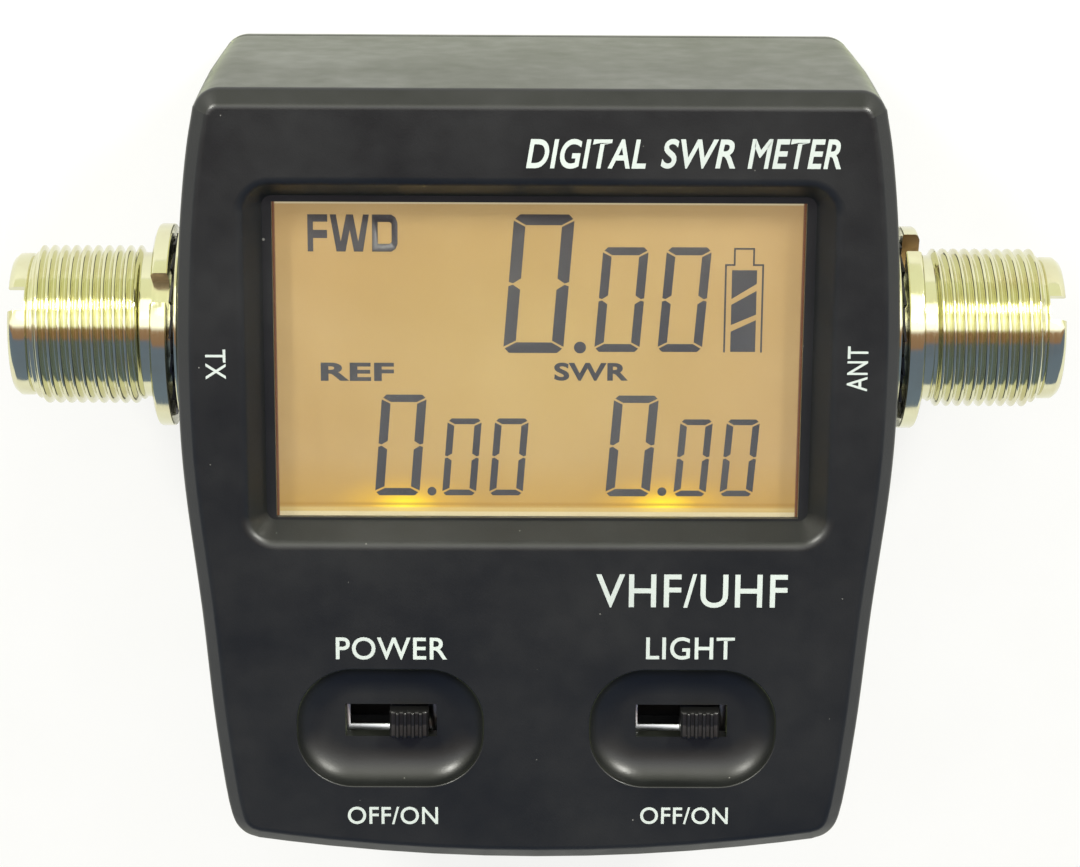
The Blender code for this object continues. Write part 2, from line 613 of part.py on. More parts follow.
def cells():
    """Three AAA cells, each turned end for end from its neighbour."""
    jacket = material("cell_jacket", (0.05, 0.16, 0.12), 0.35)
    half = CELL_LENGTH / 2
    outer = ((4.9, -half), (CELL_RADIUS, -half + 0.4), (CELL_RADIUS, half - 1.5), (4.8, half - 1.0),
             (1.9, half - 1.0), (1.7, half))
    for k in range(3):
        facing = 1 - 2 * (k % 2)
        profile = [(radius, facing * along) for radius, along in outer]
        stack("cell_%d" % (k + 1), (facing * CELL_SHIFT, cell_y(k), CELL_Z), profile, jacket, 'X', 24)


def battery_contacts():
    """Sprung plates at the ends of the cells; two of them bridge neighbouring cells."""
    metal = material("contact_nickel", (0.7, 0.69, 0.64), 0.3, 1.0)
    inner = BAY_X - 0.7
    tail = CELL_LENGTH / 2 - CELL_SHIFT
    groups = (("positive", 1, (0,)), ("bridge_right", 1, (1, 2)), ("bridge_left", -1, (0, 1)),
              ("negative", -1, (2,)))
    for name, end, served in groups:
        ys = [cell_y(k) for k in served]
        contact = plate("contact_" + name, (end * inner, end * (inner + 0.4)), (min(ys) - 4.0, max(ys) + 4.0),
                        (4.6, 12.4), metal)
        for k in served:
            if end == 2 * (k % 2) - 1:
                bm = bmesh.new()
                put_cylinder(bm, (end * (tail + GAP + inner + 0.2) / 2, cell_y(k), CELL_Z), 2.2,
                             inner + 0.2 - tail - GAP, 'X', 16)
                cut(contact, add_object("spring_%d" % (k + 1), bm), 'UNION')


def battery_leads():
    colours = (("red", 1, (0.5, 0.03, 0.02)), ("black", -1, (0.01, 0.01, 0.01)))
    for name, side, colour in colours:
        x = side * (BAY_X + BAY_WALL + 1.4)
        y = cell_y(1) - 2.0
        wire("battery_lead_" + name, ((x, y, 8.0), (x, y, 14.0), (x - side * 0.6, y + 1.0, 19.0),
                                      (x - side * 3.0, y + 2.5, 22.4), (x - side * 6.5, y + 3.5, 23.4)), 0.6,
             material(name + "_lead", colour, 0.45))


front_shell()
rear_shell()
battery_door()
feet_and_case_screws()
display()
main_board()
slide_switch("power_switch", -1)
slide_switch("light_switch", 1)
for socket_facts in SOCKETS:
    socket(*socket_facts)
coupler()
cells()
battery_contacts()
battery_leads()
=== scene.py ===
import math

import bmesh
import bpy
from mathutils import Matrix, Vector


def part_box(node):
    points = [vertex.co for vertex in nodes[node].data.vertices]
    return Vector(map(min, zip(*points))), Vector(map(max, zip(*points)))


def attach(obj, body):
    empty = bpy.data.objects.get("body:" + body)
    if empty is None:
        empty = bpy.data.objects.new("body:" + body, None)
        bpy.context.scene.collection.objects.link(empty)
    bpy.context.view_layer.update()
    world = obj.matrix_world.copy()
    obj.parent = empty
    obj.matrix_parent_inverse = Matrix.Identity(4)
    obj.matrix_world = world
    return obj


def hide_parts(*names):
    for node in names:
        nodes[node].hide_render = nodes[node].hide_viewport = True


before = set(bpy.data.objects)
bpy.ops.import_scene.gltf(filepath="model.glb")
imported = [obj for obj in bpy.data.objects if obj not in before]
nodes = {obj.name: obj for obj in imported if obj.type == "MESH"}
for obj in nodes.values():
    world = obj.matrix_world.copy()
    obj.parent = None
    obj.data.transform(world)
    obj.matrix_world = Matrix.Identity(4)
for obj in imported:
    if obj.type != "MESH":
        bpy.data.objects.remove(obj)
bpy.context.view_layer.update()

# ------------------------------------------------------------------ case front
# The deep front half of the case is one injection moulding in black ABS with a spark-eroded grain.
# The display pocket, the two switch dishes, the round seats of the sockets and the screw posts are
# all moulded with it, and it closes on the thin rear cover.

MM = 0.001
rod_low, rod_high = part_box("through_line")
shell_low, shell_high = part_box("front_shell")
AXIS_Y = (rod_low.y + rod_high.y) / 2 / MM
AXIS_Z = (rod_low.z + rod_high.z) / 2 / MM
FACE_Z = shell_high.z / MM
RIM_Z = shell_low.z / MM
CHAMFER = 1.45
WALL = 1.9
ROOF_Z = FACE_Z - 2.2
SIDE = ((31.62, 24.2), (32.3, 20.4), (33.1, 13.0), (33.6, 3.0), (33.55, -6.0), (33.2, -12.0),
        (31.9, -24.0), (30.8, -36.0), (29.5, -44.9), (28.95, -46.2), (28.1, -47.0), (26.9, -47.45))
TOP_Y = 26.05
TOP_CORNER = 2.5
BOTTOM_Y = -49.4
BOTTOM_RADIUS = 186.0


def smooth_path(stations, per_span):
    """Points along a smooth curve through every station, both ends included."""
    knots = [Vector(p) for p in stations]
    knots = [2 * knots[0] - knots[1]] + knots + [2 * knots[-1] - knots[-2]]
    path = []
    for a, b, c, d in zip(knots, knots[1:], knots[2:], knots[3:]):
        t1 = (b - a).length ** 0.5
        t2 = t1 + (c - b).length ** 0.5
        t3 = t2 + (d - c).length ** 0.5
        for k in range(per_span):
            t = t1 + (t2 - t1) * k / per_span
            ab = (a * (t1 - t) + b * t) / t1
            bc = (b * (t2 - t) + c * (t - t1)) / (t2 - t1)
            cd = (c * (t3 - t) + d * (t - t2)) / (t3 - t2)
            left = (ab * (t2 - t) + bc * t) / t2
            right = (bc * (t3 - t) + cd * (t - t1)) / (t3 - t1)
            path.append((left * (t2 - t) + right * (t - t1)) / (t2 - t1))
    path.append(knots[-2])
    return path


def case_outline():
    """The case's outline seen from the front, anticlockwise, in millimetres."""
    centre = Vector((SIDE[0][0] - TOP_CORNER, TOP_Y - TOP_CORNER))
    arc = [centre + TOP_CORNER * Vector((math.sin(a), math.cos(a)))
           for a in (math.radians(k) for k in range(0, 71, 7))]
    bottom = [Vector((x, BOTTOM_Y + x * x / (2 * BOTTOM_RADIUS))) for x in (24.0, 20.0, 15.0, 10.0, 5.0, 0.0)]
    right = [Vector((0.0, TOP_Y)), Vector((15.0, TOP_Y))] + arc + smooth_path(SIDE, 5) + bottom
    left = [Vector((-p.x, p.y)) for p in reversed(right[1:-1])]
    return [Vector((p.x, p.y + AXIS_Y)) for p in reversed(right + left)]


outline = case_outline()


def outline_at(distance, z):
    """The case outline drawn in by a distance, as a ring at one height."""
    ring = []
    for i, point in enumerate(outline):
        along = outline[(i + 1) % len(outline)] - outline[i - 1]
        inward = Vector((-along.y, along.x)).normalized()
        ring.append((point.x + inward.x * distance, point.y + inward.y * distance, z))
    return ring


def round_corners(path, radius, steps=5):
    """A path of two numbers a point whose inner corners are rounded."""
    points = [Vector(p) for p in path]
    found = [points[0]]
    for a, b, c in zip(points, points[1:], points[2:]):
        back, ahead = (a - b).normalized(), (c - b).normalized()
        half = back.angle(ahead) / 2
        reach = min(radius / math.tan(half), (a - b).length * 0.49, (c - b).length * 0.49)
        start, end = b + back * reach, b + ahead * reach
        for k in range(steps + 1):
            t = k / steps
            found.append(start * (1 - t) ** 2 + b * 2 * t * (1 - t) + end * t ** 2)
    return found + [points[-1]]


def rounded_box_ring(x, y, radius, z, steps=10):
    """A ring with round corners between two limits on X and on Y."""
    ring = []
    corners = ((x[1], y[1], -1, -1, 0), (x[0], y[1], 1, -1, 90), (x[0], y[0], 1, 1, 180),
               (x[1], y[0], -1, 1, 270))
    for cx, cy, sx, sy, start in corners:
        for k in range(steps + 1):
            a = math.radians(start + 90 * k / steps)
            ring.append((cx + sx * radius + radius * math.cos(a), cy + sy * radius + radius * math.sin(a), z))
    return ring


def skin(bm, rings, ends=(True, True)):
    """Faces between matching rings, with flat ends where asked."""
    loops = [[bm.verts.new(p) for p in ring] for ring in rings]
    for lower, upper in zip(loops, loops[1:]):
        for i in range(len(lower)):
            j = (i + 1) % len(lower)
            bm.faces.new((lower[i], lower[j], upper[j], upper[i]))
    for wanted, loop in zip(ends, (loops[0], loops[-1])):
        if wanted:
            bm.faces.new(loop)
    return loops


def block(bm, x, y, z):
    """A box between two limits on each axis."""
    rings = [[(x[0], y[0], level), (x[1], y[0], level), (x[1], y[1], level), (x[0], y[1], level)]
             for level in z]
    skin(bm, rings)


def round_bar(bm, centre, radius, z, segments=32):
    """An upright round bar between two heights."""
    turns = [2 * math.pi * k / segments for k in range(segments)]
    skin(bm, [[(centre[0] + radius * math.cos(a), centre[1] + radius * math.sin(a), level) for a in turns]
              for level in z])


def cross_bar(bm, x, radius, segments=64):
    """A round bar along the socket axis between two places on X."""
    turns = [2 * math.pi * k / segments for k in range(segments)]
    skin(bm, [[(level, AXIS_Y + radius * math.cos(a), AXIS_Z + radius * math.sin(a)) for a in turns]
              for level in x])


def make_piece(name, bm, material, sharp=32):
    """A millimetre mesh turned into a smooth-shaded object in metres."""
    bmesh.ops.remove_doubles(bm, verts=bm.verts, dist=1e-5)
    bmesh.ops.recalc_face_normals(bm, faces=bm.faces)
    bmesh.ops.scale(bm, vec=(MM, MM, MM), verts=bm.verts)
    mesh = bpy.data.meshes.new(name)
    bm.to_mesh(mesh)
    bm.free()
    piece = bpy.data.objects.new(name, mesh)
    bpy.context.scene.collection.objects.link(piece)
    if material:
        mesh.materials.append(material)
    mesh.shade_smooth()
    mesh.set_sharp_from_angle(angle=math.radians(sharp))
    return piece


def carve(piece, bm, operation='DIFFERENCE'):
    """Cut a tool shape out of a piece, or weld it on, for good."""
    tool = make_piece("tool", bm, None)
    modifier = piece.modifiers.new("carve", 'BOOLEAN')
    modifier.solver = 'EXACT'
    modifier.use_self = True
    modifier.operation = operation
    modifier.object = tool
    graph = bpy.context.evaluated_depsgraph_get()
    mesh = bpy.data.meshes.new_from_object(piece.evaluated_get(graph))
    piece.modifiers.clear()
    piece.data = mesh
    mesh.name = piece.name
    bpy.data.objects.remove(tool, do_unlink=True)


def even_shading(piece, sharp=32):
    """Smooth shading led by the large faces, so that flats stay flat beside their rounded edges."""
    piece.data.shade_smooth()
    piece.data.set_sharp_from_angle(angle=math.radians(sharp))
    modifier = piece.modifiers.new("even_shading", 'WEIGHTED_NORMAL')
    modifier.keep_sharp = True
    modifier.weight = 90


def new_group(name, inputs, outputs):
    """An empty shader group with its sockets: inputs map a name to its default value, outputs to a kind."""
    group = bpy.data.node_groups.new(name, 'ShaderNodeTree')
    for label, value in inputs.items():
        kind = 'NodeSocketColor' if isinstance(value, tuple) else 'NodeSocketFloat'
        group.interface.new_socket(label, in_out='INPUT', socket_type=kind).default_value = value
    for label, kind in outputs.items():
        group.interface.new_socket(label, in_out='OUTPUT', socket_type=kind)
    return group, group.nodes.new('NodeGroupInput'), group.nodes.new('NodeGroupOutput')


def node(tree, kind, inputs=None, **settings):
    """A node with its settings; an input is a value or another node's output."""
    made = tree.nodes.new(kind)
    for label, value in settings.items():
        setattr(made, label, value)
    for key, value in (inputs or {}).items():
        if isinstance(value, bpy.types.NodeSocket):
            tree.links.new(value, made.inputs[key])
        else:
            made.inputs[key].default_value = value
    return made


def maths(tree, operation, *values):
    return node(tree, 'ShaderNodeMath', dict(enumerate(values)), operation=operation).outputs[0]


def blended(tree, amount, first, second):
    """Mix two colours; amount 0 gives the first."""
    made = node(tree, 'ShaderNodeMix', {0: amount, 6: first, 7: second}, data_type='RGBA')
    return made.outputs[2]


def between(tree, value, low, high, start=0.0, end=1.0):
    """A value brought from one range into another, held at its ends."""
    made = node(tree, 'ShaderNodeMapRange', {0: value, 1: low, 2: high, 3: start, 4: end})
    return made.outputs[0]


def speckle(tree, place, size, share):
    """Small round dots scattered over a surface: a mask from 0 to 1."""
    spots = node(tree, 'ShaderNodeTexVoronoi', {'Vector': place, 'Scale': 1 / size})
    chance = node(tree, 'ShaderNodeSeparateColor', {0: spots.outputs['Color']})
    picked = maths(tree, 'LESS_THAN', chance.outputs[0], share)
    width = between(tree, chance.outputs[1], 0.0, 1.0, 0.03, 0.10)
    near = maths(tree, 'LESS_THAN', spots.outputs['Distance'], width)
    return maths(tree, 'MULTIPLY', picked, near)


FINISH_OUTPUTS = {"Base Color": 'NodeSocketColor', "Roughness": 'NodeSocketFloat',
                  "Normal": 'NodeSocketVector'}


def moulded_finish():
    """Grained plastic: fine spark-eroded grain, cloudy colour, patchy handling shine and specks of dust."""
    inputs = {"Colour": (0.02, 0.02, 0.02, 1), "Cloud Colour": (0.03, 0.03, 0.03, 1),
              "Dust Colour": (0.4, 0.4, 0.38, 1),
              "Grain Size": 0.00016, "Grain Depth": 0.00001, "Gloss": 0.45, "Dust": 0.04}
    group, given, result = new_group("moulded_finish", inputs, FINISH_OUTPUTS)
    place = node(group, 'ShaderNodeTexCoord').outputs['Object']
    size = maths(group, 'DIVIDE', 1.0, given.outputs["Grain Size"])
    grain = node(group, 'ShaderNodeTexNoise', {'Vector': place, 'Scale': size, 'Detail': 3.0,
                                               'Roughness': 0.6})
    cloud = node(group, 'ShaderNodeTexNoise', {'Vector': place, 'Scale': 90.0, 'Detail': 4.0})
    patches = node(group, 'ShaderNodeTexNoise', {'Vector': place, 'Scale': 420.0, 'Detail': 2.0})
    fine_dust = speckle(group, place, 0.00085, given.outputs["Dust"])
    coarse_dust = speckle(group, place, 0.0017, maths(group, 'MULTIPLY', given.outputs["Dust"], 0.5))
    dust = maths(group, 'MAXIMUM', fine_dust, coarse_dust)
    mottled = blended(group, between(group, cloud.outputs[0], 0.35, 0.7), given.outputs["Colour"],
                      given.outputs["Cloud Colour"])
    dusty = blended(group, maths(group, 'MULTIPLY', dust, 0.6), mottled, given.outputs["Dust Colour"])
    shine = between(group, cloud.outputs[0], 0.3, 0.7, -0.05, 0.06)
    shine = maths(group, 'ADD', shine, between(group, patches.outputs[0], 0.3, 0.7, -0.03, 0.03))
    rough = maths(group, 'ADD', maths(group, 'ADD', given.outputs["Gloss"], shine),
                  maths(group, 'MULTIPLY', dust, 0.3))
    bump = node(group, 'ShaderNodeBump', {'Strength': 1.0, 'Distance': given.outputs["Grain Depth"],
                                          'Height': grain.outputs[0]})
    group.links.new(dusty, result.inputs["Base Color"])
    group.links.new(rough, result.inputs["Roughness"])
    group.links.new(bump.outputs[0], result.inputs["Normal"])
    return group


def finished(name, group, values, **fixed):
    """A material whose finish comes from a group and whose plain numbers sit on its own shader."""
    material = bpy.data.materials.new(name)
    material.use_nodes = True
    tree = material.node_tree
    shader = tree.nodes["Principled BSDF"]
    coat = node(tree, 'ShaderNodeGroup', node_tree=group)
    for label, value in values.items():
        coat.inputs[label].default_value = value
    for label in ("Base Color", "Roughness", "Normal"):
        tree.links.new(coat.outputs[label], shader.inputs[label])
    for label, value in fixed.items():
        shader.inputs[label.replace("_", " ")].default_value = value
    return material


moulded = moulded_finish()
case_plastic = finished("case_black_abs", moulded,
                        {"Colour": (0.0050, 0.0056, 0.0057, 1), "Cloud Colour": (0.0078, 0.0084, 0.0082, 1),
                         "Dust Colour": (0.22, 0.22, 0.20, 1), "Grain Size": 0.00017,
                         "Grain Depth": 0.0000085,
                         "Gloss": 0.39, "Dust": 0.05},
                        Sheen_Weight=0.14, Sheen_Roughness=0.28, Sheen_Tint=(0.85, 1.0, 0.45, 1))


def fitted(piece, node_name, body="case"):
    """Let a piece ride on its body in place of a CAD node, which is hidden."""
    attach(piece, body)
    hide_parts(node_name)


DISPLAY_POCKET = {"floor_x": 25.6, "floor_y": (-15.35, 15.9), "floor_z": FACE_Z - 2.6, "x": 27.45,
                  "y": (-17.0, 17.55)}
APERTURE_X = 24.7
APERTURE_Y = (-15.1, 15.3)
SWITCH_X = 14.0
SWITCH_Y = AXIS_Y - 35.45
DISH = (17.85, 11.9)
DISH_CORNER = 5.4
DISH_DEPTH = 2.2
COVE = 3.3
SLOT = (8.8, 3.3)
POSTS = ((-19.0, 22.0), (19.0, 22.0), (-23.2, -22.9), (23.2, -22.9))
CASE_SCREWS = ((-28.6, 21.9, 2.0), (28.6, 21.9, 2.0), (-27.95, -38.0, 1.9), (27.95, -38.0, 1.9))
BOARD_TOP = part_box("main_board")[1].z / MM

bm = bmesh.new()
edge = round_corners([(0.0, FACE_Z - 6.0), (0.0, FACE_Z - CHAMFER), (CHAMFER, FACE_Z), (8.0, FACE_Z)], 0.9)
edge = [p for p in edge if p.x < CHAMFER + 1.0]
outer = [(-0.15, RIM_Z), (-0.2, RIM_Z + 3.0), (-0.3, AXIS_Z), (-0.16, FACE_Z - 9.0)] + [(p.x, p.y)
                                                                                        for p in edge[1:]]
inner = [(WALL, RIM_Z), (WALL + 0.15, ROOF_Z)]
rings = [outline_at(*station) for station in reversed(inner)] + [outline_at(*station) for station in outer]
skin(bm, rings)
case_front = make_piece("case_front", bm, case_plastic)

bm = bmesh.new()
block(bm, (-29.0, 29.0), (AXIS_Y - 19.0, AXIS_Y + 19.6), (ROOF_Z - 1.0, ROOF_Z + 0.2))
for side in (-1, 1):
    x = side * SWITCH_X
    skin(bm, [rounded_box_ring((x - 10.4, x + 10.4), (SWITCH_Y - 7.5, SWITCH_Y + 7.5), 6.0, z)
              for z in (ROOF_Z - DISH_DEPTH + 0.6, ROOF_Z + 0.2)])
    cross_bar(bm, (side * 31.9, side * 34.1), 10.6, 72)
for x, y in POSTS:
    round_bar(bm, (x, y + AXIS_Y), 1.8, (BOARD_TOP + 0.3, ROOF_Z + 0.2))
for x, y, radius in CASE_SCREWS:
    round_bar(bm, (x, y + AXIS_Y), radius, (RIM_Z + 0.3, ROOF_Z + 0.2))
carve(case_front, bm, 'UNION')

bm = bmesh.new()
pocket = DISPLAY_POCKET
run = pocket["x"] - pocket["floor_x"]
slope = round_corners([(0.0, pocket["floor_z"]), (run, FACE_Z), (run + 3.0, FACE_Z)], 1.3, 8)
rings = []
for p in slope[:-1]:
    t = p.x / run
    x = pocket["floor_x"] + t * run
    y = [AXIS_Y + low + t * (high - low) for low, high in zip(pocket["floor_y"], pocket["y"])]
    rings.append(rounded_box_ring((-x, x), y, 0.9 + 2.0 * t, p.y))
rings.append([(px, py, FACE_Z + 0.4) for px, py, pz in rings[-1]])
skin(bm, rings)
RIM_ROUND = 0.15
for side in (-1, 1):
    x = side * SWITCH_X
    profile = []
    for k in range(13):
        a = math.radians(90 - 7.5 * k)
        profile.append((COVE * (1 - math.cos(a)),
                        FACE_Z - RIM_ROUND - (DISH_DEPTH - RIM_ROUND) * math.sin(a)))
    for k in range(1, 6):
        a = math.radians(18 * k)
        profile.append((RIM_ROUND * (math.cos(a) - 1), FACE_Z - RIM_ROUND * (1 - math.sin(a))))
    profile.append((-RIM_ROUND, FACE_Z + 0.4))
    skin(bm, [rounded_box_ring((x - DISH[0] / 2 + d, x + DISH[0] / 2 - d),
                               (SWITCH_Y - DISH[1] / 2 + d, SWITCH_Y + DISH[1] / 2 - d), DISH_CORNER - d, z,
                               14)
              for d, z in profile])
carve(case_front, bm)

bm = bmesh.new()
block(bm, (-APERTURE_X, APERTURE_X), (AXIS_Y + APERTURE_Y[0], AXIS_Y + APERTURE_Y[1]), (31.5, 34.5))
for side in (-1, 1):
    x = side * SWITCH_X
    block(bm, (x - SLOT[0] / 2, x + SLOT[0] / 2), (SWITCH_Y - SLOT[1] / 2, SWITCH_Y + SLOT[1] / 2),
          (31.0, 35.0))
    cross_bar(bm, (side * 29.0, side * 36.0), 7.15, 48)
for x, y in POSTS:
    round_bar(bm, (x, y + AXIS_Y), 0.95, (25.9, 30.9), 16)
for x, y, radius in CASE_SCREWS:
    round_bar(bm, (x, y + AXIS_Y), 1.15, (2.7, 11.7), 16)
carve(case_front, bm)
even_shading(case_front)
fitted(case_front, "front_shell")

# ------------------------------------------------------------------ printed lettering
# The words on the face are pad-printed in one coat of white ink, a few hundredths of a millimetre
# thick, straight on the grained plastic. The two socket names are printed up and down the sides.

white_ink = finished("white_ink", moulded,
                     {"Colour": (0.46, 0.51, 0.48, 1), "Cloud Colour": (0.39, 0.43, 0.41, 1),
                      "Dust Colour": (0.3, 0.3, 0.28, 1), "Grain Size": 0.00016, "Grain Depth": 0.000008,
                      "Gloss": 0.55, "Dust": 0.03})


def thicken(bm, weight):
    """Move a flat shape's outline outwards, with sharp corners held back."""
    shifts = {}
    for vert in bm.verts:
        rims = [edge for edge in vert.link_edges if edge.is_boundary]
        if len(rims) != 2:
            continue
        outward = []
        for rim in rims:
            along = rim.other_vert(vert).co - vert.co
            across = Vector((along.y, -along.x, 0.0)).normalized()
            inside = rim.link_faces[0].calc_center_median() - vert.co
            outward.append(-across if across.dot(inside) > 0 else across)
        middle = outward[0] + outward[1]
        if middle.length > 1e-4:
            shifts[vert] = middle.normalized() * weight / max(middle.length / 2, 0.55)
    for vert, shift in shifts.items():
        vert.co += shift


def lettering(name, text, low, high, z, material, weight=0.0, lean=0.0, turn=0.0, thick=0.03):
    """Words fitted to a box on a flat face, as thin raised ink; weight thickens their strokes."""
    curve = bpy.data.curves.new(name, 'FONT')
    curve.body = text
    curve.shear = lean
    curve.space_character = 1.06
    curve.resolution_u = 6
    curve.fill_mode = 'FRONT'
    source = bpy.data.objects.new(name, curve)
    bpy.context.scene.collection.objects.link(source)
    graph = bpy.context.evaluated_depsgraph_get()
    flat = bpy.data.meshes.new_from_object(source.evaluated_get(graph))
    bpy.data.objects.remove(source, do_unlink=True)
    bm = bmesh.new()
    bm.from_mesh(flat)
    bmesh.ops.remove_doubles(bm, verts=bm.verts, dist=1e-5)
    thicken(bm, weight)
    bmesh.ops.rotate(bm, verts=bm.verts, matrix=Matrix.Rotation(math.radians(turn), 3, 'Z'))
    least = [min(v.co[i] for v in bm.verts) for i in (0, 1)]
    most = [max(v.co[i] for v in bm.verts) for i in (0, 1)]
    for v in bm.verts:
        share = [(v.co[i] - least[i]) / (most[i] - least[i]) for i in (0, 1)]
        v.co = (low[0] + share[0] * (high[0] - low[0]),
                AXIS_Y + low[1] + share[1] * (high[1] - low[1]), z)
    raised = bmesh.ops.extrude_face_region(bm, geom=list(bm.faces))
    for v in (v for v in raised["geom"] if isinstance(v, bmesh.types.BMVert)):
        v.co.z += thick
    piece = make_piece(name, bm, material, 20)
    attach(piece, "case")
    return piece


INK_Z = FACE_Z - 0.015
lettering("digital_lettering", "DIGITAL", (-1.27, 18.98), (9.63, 21.72), INK_Z, white_ink, 0.020, 0.22)
lettering("swr_lettering", "SWR", (10.97, 19.03), (17.75, 21.76), INK_Z, white_ink, 0.020, 0.22)
lettering("meter_lettering", "METER", (18.87, 19.05), (27.38, 21.78), INK_Z, white_ink, 0.020, 0.22)
lettering("band_lettering", "VHF/UHF", (5.56, -23.15), (23.67, -19.80), INK_Z, white_ink, 0.007)
lettering("power_lettering", "POWER", (-19.12, -28.46), (-8.55, -26.21), INK_Z, white_ink, 0.010)
lettering("light_lettering", "LIGHT", (10.38, -28.37), (18.81, -26.12), INK_Z, white_ink, 0.010)
lettering("power_off_on_lettering", "OFF/ON", (-18.17, -45.34), (-9.46, -43.54), INK_Z, white_ink, 0.010)
lettering("light_off_on_lettering", "OFF/ON", (10.07, -45.27), (18.55, -43.53), INK_Z, white_ink, 0.010)
lettering("tx_lettering", "TX", (-30.83, -0.95), (-28.96, 1.90), INK_Z, white_ink, 0.005, turn=-90)
lettering("ant_lettering", "ANT", (28.59, -1.87), (30.50, 2.43), INK_Z, white_ink, 0.005, turn=90)

# ------------------------------------------------------------------ display
# A clear acrylic window is glued under the pocket's ledge. Behind it sit the liquid crystal glass in
# a white frame and a light guide lit from its lower edge by two amber lamps. The digits, words and
# battery sign are dark areas of the glass.

GLASS_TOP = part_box("lcd_glass")[1].z / MM
LAMPS = (-12.62, 11.97)
LAMP_Y = -14.4
HALO = (8.0, 3.4)
GLOW_STRENGTH = 0.74


def window_material():
    """Clear acrylic: bends and reflects light, and lets the lamps through to the display behind."""
    material = bpy.data.materials.new("clear_acrylic")
    material.use_nodes = True
    tree = material.node_tree
    shader = tree.nodes["Principled BSDF"]
    shader.inputs["Base Color"].default_value = (0.96, 0.97, 0.95, 1)
    shader.inputs["Transmission Weight"].default_value = 1.0
    shader.inputs["IOR"].default_value = 1.49
    place = node(tree, 'ShaderNodeTexCoord').outputs['Object']
    smear = node(tree, 'ShaderNodeTexNoise', {'Vector': place, 'Scale': 160.0, 'Detail': 4.0})
    tree.links.new(between(tree, smear.outputs[0], 0.4, 0.75, 0.01, 0.08), shader.inputs["Roughness"])
    clear = node(tree, 'ShaderNodeBsdfTransparent')
    path = node(tree, 'ShaderNodeLightPath')
    mixed = node(tree, 'ShaderNodeMixShader', {0: path.outputs['Is Shadow Ray'], 1: shader.outputs[0],
                                               2: clear.outputs[0]})
    tree.links.new(mixed.outputs[0], tree.nodes["Material Output"].inputs[0])
    return material


